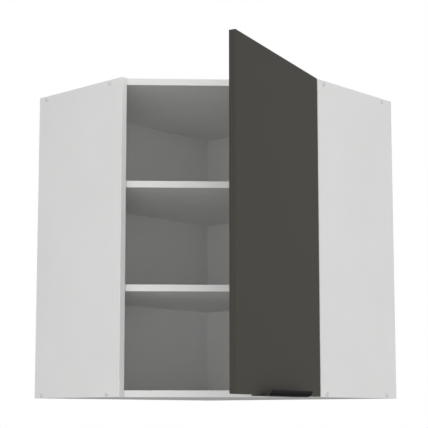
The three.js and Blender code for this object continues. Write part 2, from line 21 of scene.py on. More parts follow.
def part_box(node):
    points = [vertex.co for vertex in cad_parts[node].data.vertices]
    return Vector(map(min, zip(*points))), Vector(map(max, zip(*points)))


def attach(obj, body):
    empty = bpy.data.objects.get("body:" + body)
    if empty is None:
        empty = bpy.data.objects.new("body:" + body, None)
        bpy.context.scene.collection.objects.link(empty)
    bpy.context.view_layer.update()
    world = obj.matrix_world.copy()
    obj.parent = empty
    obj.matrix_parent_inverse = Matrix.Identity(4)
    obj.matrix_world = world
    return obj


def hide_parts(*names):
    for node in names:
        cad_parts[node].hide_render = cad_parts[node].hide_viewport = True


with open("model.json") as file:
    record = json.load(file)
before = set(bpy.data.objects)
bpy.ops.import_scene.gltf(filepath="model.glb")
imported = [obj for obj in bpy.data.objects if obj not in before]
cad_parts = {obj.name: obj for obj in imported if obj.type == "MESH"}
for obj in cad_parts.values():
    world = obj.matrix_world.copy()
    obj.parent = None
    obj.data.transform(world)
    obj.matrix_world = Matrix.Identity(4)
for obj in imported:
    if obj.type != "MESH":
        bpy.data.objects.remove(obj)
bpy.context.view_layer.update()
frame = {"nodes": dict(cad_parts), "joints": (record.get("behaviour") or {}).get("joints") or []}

MM = 0.001
ROUND = 48  # sides of a turned piece that shows
SMALL_ROUND = 32  # sides of a small one
SMOOTH_ANGLE = math.radians(38)
SHARP_ANGLE = math.radians(30)  # an edge that turns by more is softened
MERGE = 0.002 * MM  # points this near each other become one
NEAR = 0.01 * MM  # how far off a height or a place still counts as it
FACING = 0.9  # least part of a normal along an axis that the face looks along
FLAT = 0.999  # the same for a face that isn't part of a rounded edge
TOWARDS = 0.5  # the same for a face together with its softened rim
MIDDLE_RANGE = {"From Min": 0.3, "From Max": 0.7}  # where most values of a cloud pattern lie
RECESS = 0.6  # a screw's cross recess, as a share of its head's radius
POINT = 8  # a screw's shank is this many times as wide as its point
RIVET = (0.8, 1.35, 0.22)  # a riveted pin's end, head and rise, as shares of its radius
EIGHT = range(1, 9)  # connecting screws, caps and shelf pins are numbered so
LEVELS = ("lower", "upper")
X_AXIS = Vector((1.0, 0.0, 0.0))
Y_AXIS = Vector((0.0, 1.0, 0.0))
Z_AXIS = Vector((0.0, 0.0, 1.0))
Colour = tuple[float, float, float]
Ring = tuple[float, float]  # radius and height
Socket = bpy.types.NodeSocket
log = logging.getLogger("corner_cabinet")


class Body(Enum):
    """The bodies that pieces ride on."""

    CARCASS = "carcass"
    DOOR = "door"
    OUTER_LEVERS = "outer_levers"
    INNER_LEVERS = "inner_levers"
    COUPLERS = "couplers"


class Pick(Enum):
    """What an edit-mode selection is made of."""

    EDGES = "EDGE"
    FACES = "FACE"


# ------------------------------------------------------------------ finishes
class NodeBench:
    """Adds nodes to the tree of a material or of the world."""

    def __init__(self, owner: bpy.types.Material | bpy.types.World) -> None:
        """Takes up a tree.

        Args:
            owner: The material or the world that it belongs to.
        """
        owner.use_nodes = True
        self.nodes = owner.node_tree.nodes
        self.links = owner.node_tree.links

    def feed(self, node: bpy.types.Node, inputs: dict[str | int, object]) -> None:
        """Sets a node's inputs, or links them.

        Args:
            node: The node.
            inputs: A value, or another node's output, for each input's name or number.
        """
        for key, value in inputs.items():
            if isinstance(value, Socket):
                self.links.new(value, node.inputs[key])
            else:
                node.inputs[key].default_value = value

    def add(self, kind: str, inputs: dict[str | int, object], output: str | int = 0) -> Socket:
        """Adds a node.

        Args:
            kind: Its type, without ShaderNode in front.
            inputs: What each input is set or linked to.
            output: Name or number of the output that is wanted.

        Returns:
            That output.
        """
        node = self.nodes.new(f"ShaderNode{kind}")
        self.feed(node, inputs)
        return node.outputs[output]


@dataclass(frozen=True)
class Pattern:
    """A cloud pattern on a piece's own coordinates."""

    lumps: float | Colour  # to the metre, the same all ways or along each axis
    octaves: float
    turn: float = 0.0  # of the axes about +Z


class FinishTree(NodeBench):
    """The tree of one finish: a Principled shader and the patterns that feed it."""

    def __init__(self, finish: "Finish") -> None:
        """Starts a material.

        Args:
            finish: Says its name, colour and roughness.
        """
        self.material = bpy.data.materials.new(finish.name)
        super().__init__(self.material)
        self.finish = finish
        self.shader = self.nodes["Principled BSDF"]
        self.set(("Base Color", (*finish.colour, 1.0)), ("Roughness", finish.roughness))
        self.place = self.add("TexCoord", {}, "Object")

    def set(self, *sockets: tuple[str, object]) -> None:
        """Sets the shader's own sockets, or links them to patterns."""
        self.feed(self.shader, dict(sockets))

    def stretched(self, scale: Colour, turn: float = 0.0) -> Socket:
        """Object coordinates, turned about +Z by an angle and scaled along each axis."""
        return self.add("Mapping", {"Vector": self.place, "Rotation": (0.0, 0.0, turn), "Scale": scale})

    def clouds(self, pattern: Pattern) -> Socket:
        """Adds a cloud pattern.

        Args:
            pattern: Says its lumps, octaves and turn.

        Returns:
            A value about 0.5.
        """
        place, lumps = self.place, pattern.lumps
        if isinstance(lumps, tuple):
            place, lumps = self.stretched(lumps, pattern.turn), 1.0
        return self.add("TexNoise", {"Vector": place, "Scale": lumps, "Detail": pattern.octaves}, "Fac")

    def tint(self, value: Socket, stops: Sequence[tuple[float, float | Colour]]) -> None:
        """Colours the surface along a pattern.

        Args:
            value: Says where on the ramp each point lies.
            stops: Places on the ramp, each with a colour or a factor of the finish's own.
        """
        node = self.nodes.new("ShaderNodeValToRGB")
        elements = node.color_ramp.elements
        for index, (place, tone) in enumerate(stops):
            if isinstance(tone, float):
                tone = tuple(min(1.0, part * tone) for part in self.finish.colour)
            element = elements[index] if index < len(elements) else elements.new(place)
            element.position = place
            element.color = (*tone, 1.0)
        self.feed(node, {"Fac": value})
        self.set(("Base Color", node.outputs["Color"]))

    def vary(self, value: Socket, below: float, above: float) -> None:
        """Spreads the middle range of a pattern over the roughness.

        Args:
            value: The pattern.
            below: How far it goes below the finish's own roughness.
            above: How far it goes above.
        """
        own = self.finish.roughness
        levels = {"Value": value, **MIDDLE_RANGE, "To Min": own - below, "To Max": own + above}
        self.set(("Roughness", self.add("MapRange", levels, "Result")))

    def bump(self, value: Socket, depth: float, strength: float) -> None:
        """Raises the surface by a pattern, over any bump that is already there.

        Args:
            value: The pattern.
            depth: Its height in metres.
            strength: Share of it that shows.
        """
        inputs = {"Height": value, "Distance": depth, "Strength": strength}
        normal = self.shader.inputs["Normal"]
        if normal.is_linked:
            inputs["Normal"] = normal.links[0].from_socket
        self.set(("Normal", self.add("Bump", inputs, "Normal")))


@dataclass(frozen=True)
class Finish:
    """A surface finish; its material is made once and shared."""

    name: str
    colour: Colour
    roughness: float
    tone: Pattern = Pattern(60.0, 3.0)  # where its tones lie
    tones: tuple[tuple[float, float | Colour], ...] = ((0.3, 0.98), (0.7, 1.02))
    grain: Pattern = Pattern(900.0, 3.0)  # what raises the surface
    depth: float = 0.03 * MM  # of the grain
    strength: float = 0.5  # share of it that shows
    haze: Pattern | None = None  # where its roughness varies, if not with the grain
    spread: tuple[float, float] | None = None  # how far the roughness goes below and above, if at all
    sockets: tuple[tuple[str, object], ...] = ()  # what else the shader is set to

    def material(self) -> bpy.types.Material:
        """The finish's material, made on first use."""
        return bpy.data.materials.get(self.name) or self.make()

    def make(self) -> bpy.types.Material:
        """Makes the material.

        Returns:
            The material, with its patterns laid.
        """
        tree = FinishTree(self)
        self.lay(tree)
        return tree.material

    def lay(self, tree: FinishTree) -> None:
        """Lays the tones, the uneven gloss and the grain.

        Args:
            tree: The material's tree.
        """
        tree.tint(tree.clouds(self.tone), self.tones)
        grain = tree.clouds(self.grain)
        if self.spread:
            tree.vary(tree.clouds(self.haze) if self.haze else grain, *self.spread)
        tree.bump(grain, self.depth, self.strength)
        tree.set(*self.sockets)


@dataclass(frozen=True)
class Foil(Finish):
    """Satin foil on board: nearly even, with a fine orange peel and soft cloudiness."""

    tone: Pattern = Pattern(5.0, 3.0)
    tones: tuple[tuple[float, float], ...] = ((0.3, 0.97), (0.7, 1.01))
    grain: Pattern = Pattern(700.0, 3.0)
    depth: float = 0.06 * MM
    haze: Pattern = Pattern(60.0, 4.0)
    spread: tuple[float, float] = (0.05, 0.06)
    sockets: tuple[tuple[str, object], ...] = (("Specular IOR Level", 0.06),)


@dataclass(frozen=True)
class EdgeBand(Finish):
    """Edging glued on a board's edge, with faint scraper marks along it."""

    tone: Pattern = Pattern(25.0, 3.0)
    tones: tuple[tuple[float, float], ...] = ((0.3, 0.985), (0.7, 1.01))
    grain: Pattern = Pattern((900.0, 900.0, 30.0), 4.0)
    strength: float = 0.4
    spread: tuple[float, float] = (0.06, 0.08)
    sockets: tuple[tuple[str, object], ...] = (("Specular IOR Level", 0.2),)


@dataclass(frozen=True)
class Chipboard(Finish):
    """Sawn chipboard: flat wood chips of several browns, pressed in layers, with dark gaps."""

    chips: Colour = (700.0, 700.0, 260.0)  # to the metre, along each axis
    tones: tuple[tuple[float, float], ...] = ((0.0, 0.68), (0.35, 0.9), (0.6, 1.0), (1.0, 1.22))
    gap: tuple[float, float] = (0.3 * MM, 0.5)  # depth between the chips, and its strength
    grain: Pattern = Pattern(2500.0, 4.0)
    depth: float = 0.15 * MM
    strength: float = 0.4

    def lay(self, tree: FinishTree) -> None:
        """Lays the chips, the gaps and the saw's marks.

        Args:
            tree: The material's tree.
        """
        layers = {"Vector": tree.stretched(self.chips), "Scale": 1.0}
        tree.tint(tree.add("TexVoronoi", layers, "Color"), self.tones)
        tree.bump(tree.add("TexVoronoi", layers, "Distance"), *self.gap)
        tree.bump(tree.clouds(self.grain), self.depth, self.strength)


@dataclass(frozen=True)
class Fibreboard(Finish):
    """The bare side of thin fibreboard: fine brown fibres in a felt."""

    tone: Pattern = Pattern(260.0, 10.0)
    tones: tuple[tuple[float, float], ...] = ((0.35, 0.84), (0.5, 1.0), (0.65, 1.12))
    grain: Pattern = Pattern(260.0, 10.0)
    depth: float = 0.15 * MM
    strength: float = 0.6


@dataclass(frozen=True)
class Lacquer(Finish):
    """Matt lacquer: an even tone, a very fine grain and slightly uneven gloss."""

    tone: Pattern = Pattern(900.0, 3.0)
    grain: Pattern = Pattern(1500.0, 2.0)
    depth: float = 0.04 * MM
    strength: float = 0.4
    haze: Pattern = Pattern(300.0, 4.0)
    spread: tuple[float, float] = (0.03, 0.03)
    sockets: tuple[tuple[str, object], ...] = (("Specular IOR Level", 0.12),)


@dataclass(frozen=True)
class Anodised(Finish):
    """Black anodised aluminium with an extrusion's die lines, and little shine at a glancing angle."""

    tone: Pattern = Pattern(300.0, 4.0)
    tones: tuple[tuple[float, float], ...] = ((0.3, 0.8), (0.7, 1.25))
    grain: Pattern = Pattern((8.0, 2500.0, 2500.0), 3.0, math.radians(-15.7))
    depth: float = 0.02 * MM
    spread: tuple[float, float] = (0.06, 0.08)
    sockets: tuple[tuple[str, object], ...] = (("Metallic", 1.0), ("Specular Tint", (0.15, 0.15, 0.15, 1.0)))


@dataclass(frozen=True)
class Moulded(Finish):
    """Moulded plastic with a light spark-eroded grain."""

    tone: Pattern = Pattern(180.0, 3.0)
    grain: Pattern = Pattern(2600.0, 2.0)
    haze: Pattern = Pattern(900.0, 3.0)
    spread: tuple[float, float] = (0.05, 0.05)
    sockets: tuple[tuple[str, object], ...] = (("Specular IOR Level", 0.3),)


@dataclass(frozen=True)
class Plated(Finish):
    """Plated steel: rolled grain under the plating, cloudy gloss and a faint second tint."""

    grain: Pattern = Pattern((300.0, 300.0, 60.0), 4.0)
    depth: float = 0.012 * MM
    strength: float = 0.3
    spread: tuple[float, float] = (0.04, 0.05)
    sockets: tuple[tuple[str, object], ...] = (("Metallic", 1.0),)


SLANTED = Pattern((900.0, 900.0, 30.0), 4.0, math.radians(45))
FACE_ROLLED = Pattern((900.0, 60.0, 900.0), 4.0)
ZINC_TONES = ((0.35, (0.60, 0.62, 0.66)), (0.68, (0.68, 0.66, 0.60)))
NICKEL_TONES = ((0.35, (0.66, 0.65, 0.62)), (0.68, (0.72, 0.70, 0.66)))
DULL, CLEAR = (("Specular IOR Level", 0.15),), (("Specular IOR Level", 0.3), ("Transmission Weight", 0.55))
WHITE_FOIL = Foil("white_foil", (0.86, 0.86, 0.855), 0.75)
# Painted light: the upright edging is painted lighter than the diagonal edging, to offset the shade that the
# open door casts on the upright front edges.
LIGHTENED_UPRIGHT_BAND = EdgeBand("white_edging_upright_painted_light", (0.9, 0.9, 0.89), 0.5)
DIAGONAL_BAND = EdgeBand("white_edging_diagonal", (0.85, 0.85, 0.84), 0.5, grain=SLANTED)
SAWN_UPRIGHT = Chipboard("sawn_chipboard_upright", (0.50, 0.36, 0.21), 0.85)
SAWN_LEVEL = Chipboard("sawn_chipboard_level", (0.50, 0.36, 0.21), 0.85, chips=(260.0, 260.0, 700.0))
THIN_LACQUER = Foil("white_lacquered_fibreboard", (0.83, 0.83, 0.825), 0.75, grain=Pattern(1100.0, 3.0))
BARE_FIBRE = Fibreboard("bare_fibreboard", (0.27, 0.165, 0.09), 0.8)
DOOR_LACQUER = Lacquer("dark_grey_lacquer", (0.057, 0.054, 0.046), 0.7)
DOOR_EDGE_LACQUER = Lacquer("dark_grey_lacquer_edges", (0.062, 0.059, 0.051), 0.6, grain=Pattern(2200.0, 2.0))
BLACK_ANODISED = Anodised("black_anodised_aluminium", (0.06, 0.06, 0.062), 0.38)
CAP_PLASTIC = Moulded("white_cap_plastic", (0.72, 0.72, 0.71), 0.6, sockets=DULL)
CASE_PLASTIC = Moulded("white_case_plastic", (0.74, 0.74, 0.72), 0.45)
CLEAR_RUBBER = Moulded("soft_clear_plastic", (0.72, 0.74, 0.73), 0.35, sockets=CLEAR)
ZINC = Plated("zinc_plated_steel", (0.60, 0.62, 0.66), 0.34, tones=ZINC_TONES)
NICKEL = Plated("nickel_plated_steel", (0.66, 0.65, 0.62), 0.26, tones=NICKEL_TONES, grain=FACE_ROLLED)


# ------------------------------------------------------------------ modelling
def start_clean() -> None:
    """Leaves edit mode and deselects everything, the construction's own nodes included."""
    if bpy.context.object and bpy.context.object.mode != "OBJECT":
        bpy.ops.object.mode_set(mode="OBJECT")
    bpy.ops.object.select_all(action="DESELECT")


def is_sharp(edge: object) -> bool:
    """Whether the faces at an edge turn by more than SHARP_ANGLE."""
    return edge.calc_face_angle(0.0) > SHARP_ANGLE


class Workpiece:
    """A mesh while it is on the bench: added as a primitive, shaped and dressed."""

    def __init__(self, name: str) -> None:
        """Takes up the primitive that was just added, with its place in its mesh.

        Args:
            name: The piece's name.
        """
        self.obj = bpy.context.object
        self.rename(name)
        bpy.ops.object.transform_apply(location=True, rotation=True, scale=True)

    @classmethod
    def block(cls, name: str, low: Vector, high: Vector) -> "Workpiece":
        """A block between two corners.

        Args:
            name: The piece's name.
            low: Its lowest corner.
            high: Its highest.

        Returns:
            The block.
        """
        start_clean()
        bpy.ops.mesh.primitive_cube_add(size=1.0, location=(low + high) / 2, scale=high - low)
        return cls(name)

    @classmethod
    def turned(
        cls, name: str, rings: Sequence[Ring], sides: int = SMALL_ROUND, pointed: bool = False
    ) -> "Workpiece":
        """A closed piece turned about +Z, drawn up ring by ring from a flat disc.

        Args:
            name: The piece's name.
            rings: Radius and height of each ring, in turning order.
            sides: Sides of the rings.
            pointed: Whether the last ring closes to a point.

        Returns:
            The workpiece.
        """
        start_clean()
        radius, height = rings[0]
        bpy.ops.mesh.primitive_circle_add(
            vertices=sides, radius=radius, fill_type="NGON", location=(0.0, 0.0, height)
        )
        piece = cls(name)
        with piece.selecting(Pick.FACES):
            for next_radius, next_height in rings[1:]:
                lift = (0.0, 0.0, next_height - height)
                bpy.ops.mesh.extrude_region_move(TRANSFORM_OT_translate={"value": lift})
                grow = next_radius / radius
                bpy.ops.transform.resize(value=(grow, grow, 1.0), center_override=(0.0, 0.0, next_height))
                radius, height = next_radius, next_height
            if pointed:
                bpy.ops.mesh.merge(type="CENTER")
        piece.face_outwards()
        return piece

    @classmethod
    def link(
        cls, name: str, span: float, eye: float, half_width: float, low: float, high: float
    ) -> "Workpiece":
        """A flat link along +X with a round eye, not yet bored, at either end.

        Args:
            name: The piece's name.
            span: Between the eyes' middles; the first is at the origin.
            eye: Radius of the eyes.
            half_width: Half the width between them.
            low: Height of the underside.
            high: Height of the upper side.

        Returns:
            The link.
        """
        link = cls.block(name, Vector((0.0, -half_width, low)), Vector((span, half_width, high)))
        for at in (0.0, span):
            link.join(cls.turned("eye", [(eye, low), (eye, high)]).place(Matrix.Translation((at, 0.0, 0.0))))
        return link

    @classmethod
    def rivet(cls, at: Vector, radius: float, low: float, high: float) -> "Workpiece":
        """An upright pin, its ends hammered over a little outside two heights.

        Args:
            at: Where it stands.
            radius: Of the pin.
            low: Height of the lower face that it holds.
            high: Height of the upper one.

        Returns:
            The pin.
        """
        end, head, rise = (radius * share for share in RIVET)
        profile = [(end, rise), (head, rise / 2), (head, 0.0), (radius, 0.0)]
        rings = [(ring, low - out) for ring, out in profile]
        rings += [(ring, high + out) for ring, out in reversed(profile)]
        return cls.turned("rivet", rings).place(Matrix.Translation((at.x, at.y, 0.0)))

    @classmethod
    def cross_screw(cls, name: str, rings: Sequence[Ring], reach: float) -> "Workpiece":
        """A screw that points along +Z, its head's face at the first ring, with a cross recess.

        Args:
            name: The piece's name.
            rings: Radius and height of each ring, from the head's face to the tip.
            reach: Of the recess, from the screw's middle; it is half as deep and a fifth as wide.

        Returns:
            The screw.
        """
        screw = cls.turned(name, rings, pointed=True)
        middle = Vector((0.0, 0.0, rings[0][1]))
        corner = Vector((reach, reach / 5, reach / 2))
        for turn in (0.0, math.pi / 2):
            blade = cls.block("blade", middle - corner, middle + corner)
            screw.cut(blade.place(Matrix.Rotation(turn, 4, "Z")))
        return screw

    @classmethod
    def copy_of(cls, name: str, node: str) -> "Workpiece":
        """A copy of a construction node, its loose triangles merged into plain faces.

        Args:
            name: The piece's name.
            node: The node's.

        Returns:
            The copy.
        """
        start_clean()
        twin = bpy.data.objects.new(name, frame["nodes"][node].data.copy())
        bpy.context.collection.objects.link(twin)
        twin.select_set(True)
        bpy.context.view_layer.objects.active = twin
        twin.data.materials.clear()
        piece = cls(name)
        with piece.selecting(Pick.FACES):
            bpy.ops.mesh.remove_doubles(threshold=MERGE)
            bpy.ops.mesh.dissolve_limited(angle_limit=math.radians(1.0))
        return piece

    def rename(self, name: str) -> None:
        """Names the object and its mesh."""
        self.obj.name = name
        self.obj.data.name = name

    def take_up(self) -> None:
        """Makes this the one selected object and the active one."""
        start_clean()
        self.obj.select_set(True)
        bpy.context.view_layer.objects.active = self.obj

    def twin(self, name: str, shift: Matrix) -> "Workpiece":
        """Copies the piece with a mesh of its own.

        Args:
            name: The copy's name.
            shift: What moves it from the piece's place to its own.

        Returns:
            The copy.
        """
        self.take_up()
        bpy.ops.object.duplicate(linked=False)
        return Workpiece(name).place(shift)

    def deal_out(self, body: Body, slot: str, places: Iterable[tuple[str, Matrix, str]]) -> None:
        """Copies the model to its places and scraps it.

        Args:
            body: What the copies ride on.
            slot: Their material slot.
            places: Each copy's name and place, and the construction node that it stands for.
        """
        for name, where, node in places:
            self.twin(name, where).hand_over(body, slot, node)
        bpy.data.objects.remove(self.obj)

    @contextmanager
    def selecting(self, pick: Pick, test: Callable[[object], bool] = lambda element: True) -> Iterator[None]:
        """Opens edit mode with what passes the test selected, and closes it afterwards.

        Args:
            pick: Faces or edges.
            test: Told each of them; as it is, all are selected.

        Yields:
            Nothing; the selection is live meanwhile.
        """
        self.take_up()
        bpy.ops.object.mode_set(mode="EDIT")
        bpy.ops.mesh.select_mode(type=pick.value)
        bpy.ops.mesh.select_all(action="DESELECT")
        shape = bmesh.from_edit_mesh(self.obj.data)
        group = shape.faces if pick is Pick.FACES else shape.edges
        for element in [e for e in group if test(e)]:
            element.select_set(True)
        bmesh.update_edit_mesh(self.obj.data)
        yield
        bpy.ops.object.mode_set(mode="OBJECT")

    def face_outwards(self) -> None:
        """Turns every face to the outside."""
        with self.selecting(Pick.FACES):
            bpy.ops.mesh.normals_make_consistent(inside=False)

    def saw(self, point: Vector, normal: Vector, through: bool = True) -> None:
        """Saws off what lies beyond a plane, where its normal points, or only scores its line."""
        with self.selecting(Pick.FACES):
            bpy.ops.mesh.bisect(plane_co=point, plane_no=normal, use_fill=through, clear_outer=through)

    def soften(self, width: float, segments: int = 3, test: Callable[[object], bool] = is_sharp) -> None:
        """Rounds the edges that pass a test: as it is, the sharp ones."""
        with self.selecting(Pick.EDGES, test):
            bpy.ops.mesh.bevel(offset=width, segments=segments, affect="EDGES", clamp_overlap=True)

    def run_modifier(self, kind: str, **settings: object) -> None:
        """Adds a modifier and applies it.

        Args:
            kind: Its type.
            **settings: What its fields are set to.
        """
        self.take_up()
        modifier = self.obj.modifiers.new(kind.lower(), kind)
        for name, value in settings.items():
            setattr(modifier, name, value)
        bpy.ops.object.modifier_apply(modifier=modifier.name)

    def combine(self, operation: str, others: Sequence["Workpiece"]) -> None:
        """Joins or cuts with other workpieces in turn, and uses them up.

        Args:
            operation: UNION or DIFFERENCE.
            others: The workpieces.
        """
        exact = {"operation": operation, "solver": "EXACT", "material_mode": "TRANSFER"}
        for other in others:
            self.run_modifier("BOOLEAN", object=other.obj, **exact)
            bpy.data.objects.remove(other.obj)

    def join(self, *parts: "Workpiece") -> None:
        """Joins parts to this piece."""
        self.combine("UNION", parts)

    def cut(self, *tools: "Workpiece") -> None:
        """Cuts tools out of this piece."""
        self.combine("DIFFERENCE", tools)

    def place(self, where: Matrix) -> "Workpiece":
        """Moves the mesh; the object stays at the origin.

        Args:
            where: The place, from the mesh's coordinates to the world's.

        Returns:
            The piece itself.
        """
        self.take_up()
        self.obj.matrix_world = where
        bpy.ops.object.transform_apply(location=True, rotation=True, scale=True)
        return self

    def wear(self, finish: Finish) -> "Workpiece":
        """Gives the whole piece one finish.

        Args:
            finish: The finish.

        Returns:
            The piece itself.
        """
        self.obj.data.materials.clear()
        self.obj.data.materials.append(finish.material())
        for face in self.obj.data.polygons:
            face.material_index = 0
        return self

    def wear_by_face(self, choose: Callable[[Vector, Vector], Finish]) -> None:
        """Gives each face a finish of its own.

        Args:
            choose: Told a face's middle and normal, says its finish.
        """
        slots = self.obj.data.materials
        for face in self.obj.data.polygons:
            material = choose(face.center, face.normal).material()
            if material.name not in slots:
                slots.append(material)
            face.material_index = slots.find(material.name)

    def hand_over(self, body: Body, slot: str, *nodes: str) -> None:
        """Ends the work: smooth shading by angle, true flats, and its place in the frame.

        Args:
            body: What the piece rides on.
            slot: The record's material slot; not used.
            *nodes: The construction nodes that it stands for.
        """
        self.take_up()
        bpy.ops.object.shade_smooth_by_angle(angle=SMOOTH_ANGLE)
        self.run_modifier("WEIGHTED_NORMAL", mode="FACE_AREA", weight=80, keep_sharp=True)
        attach(self.obj, body.value)
        if nodes:
            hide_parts(*nodes)
        log.info("%s: %d faces, rides on %s", self.obj.name, len(self.obj.data.polygons), body.value)


def aimed(direction: Vector, at: Sequence[float] = (0.0, 0.0, 0.0)) -> Matrix:
    """Turns +Z to a direction and moves the origin to a place."""
    return Matrix.Translation(at) @ direction.to_track_quat("Z", "Y").to_matrix().to_4x4()


def bore(axis: Vector, start: Vector, length: float, radius: float, sides: int = SMALL_ROUND) -> Workpiece:
    """A round cutting tool that runs from a start along an axis."""
    tool = Workpiece.turned("bore", [(radius, 0.0), (radius, length)], sides)
    return tool.wear(SAWN_UPRIGHT).place(aimed(axis, start))


def groove(low: Vector, high: Vector) -> Workpiece:
    """A square cutting tool between two corners."""
    return Workpiece.block("groove", low, high).wear(SAWN_UPRIGHT)


def countersink(head: float, shank: float, depth: float) -> Workpiece:
    """A cutting tool along +Z: the seat of a countersunk head and the hole for its shank."""
    rings = [(head + MM, -MM), (head, 0.0), (shank, head - shank), (shank, depth)]
    return Workpiece.turned("countersink", rings)


class Box:
    """The room that a construction node takes up."""

    def __init__(self, node: str, place: Matrix | None = None) -> None:
        """Measures a node along the world's axes, or along those of a turned frame.

        Args:
            node: The node's name.
            place: The frame, from its own coordinates to the world's.
        """
        if place is None:
            self.low, self.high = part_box(node)
        else:
            back = place.inverted()
            points = [back @ vertex.co for vertex in frame["nodes"][node].data.vertices]
            self.low = Vector(min(p[i] for p in points) for i in range(3))
            self.high = Vector(max(p[i] for p in points) for i in range(3))
        self.middle = (self.low + self.high) / 2
        self.size = self.high - self.low
        self.radius = self.size.z / 2
        self.axis = X_AXIS if self.size.x > self.size.y else Y_AXIS

    def grown(self, by: float) -> tuple[Vector, Vector]:
        """Both corners, moved out by a margin."""
        margin = Vector((by, by, by))
        return self.low - margin, self.high + margin

    def bore(self, axis: Vector, radius: float, ahead: float = 0.0, beyond: float = 0.0) -> Workpiece:
        """A bore through the box's middle along an axis, from ahead of the box to beyond it."""
        length = self.size.dot(axis)
        return bore(axis, self.middle - axis * (length / 2 + ahead), length + ahead + beyond, radius)


def joint(name: str) -> dict:
    """A joint's entry in the frame."""
    return next(entry for entry in frame["joints"] if entry["name"] == name)


class FrontFrame:
    """The turned frames of the diagonal front and of the open door.

    Their first axis runs along the front from the hinged side, and their second points out.
    """

    def __init__(self) -> None:
        """Works both frames out of the side panels' corners and the door's joint."""
        right, left = Box("right_side_panel"), Box("left_side_panel")
        corner = Vector((right.low.x, right.high.y, 0.0))
        span = Vector((left.high.x, left.low.y, 0.0)) - corner
        self.closed = Matrix.Translation(corner) @ Matrix.Rotation(math.atan2(span.y, span.x), 4, "Z")
        swing = joint("door_swing")
        opening = Matrix.Rotation(-math.radians(swing["range_deg"][0]), 4, "Z")
        pivot = self.closed.inverted() @ Vector((*swing["pos_m"][:2], 0.0))
        self.door = self.closed @ Matrix.Translation(pivot) @ opening @ Matrix.Translation(-pivot)
        self.outwards = (self.closed.to_3x3() @ Y_AXIS).normalized()


FRONT = FrontFrame()


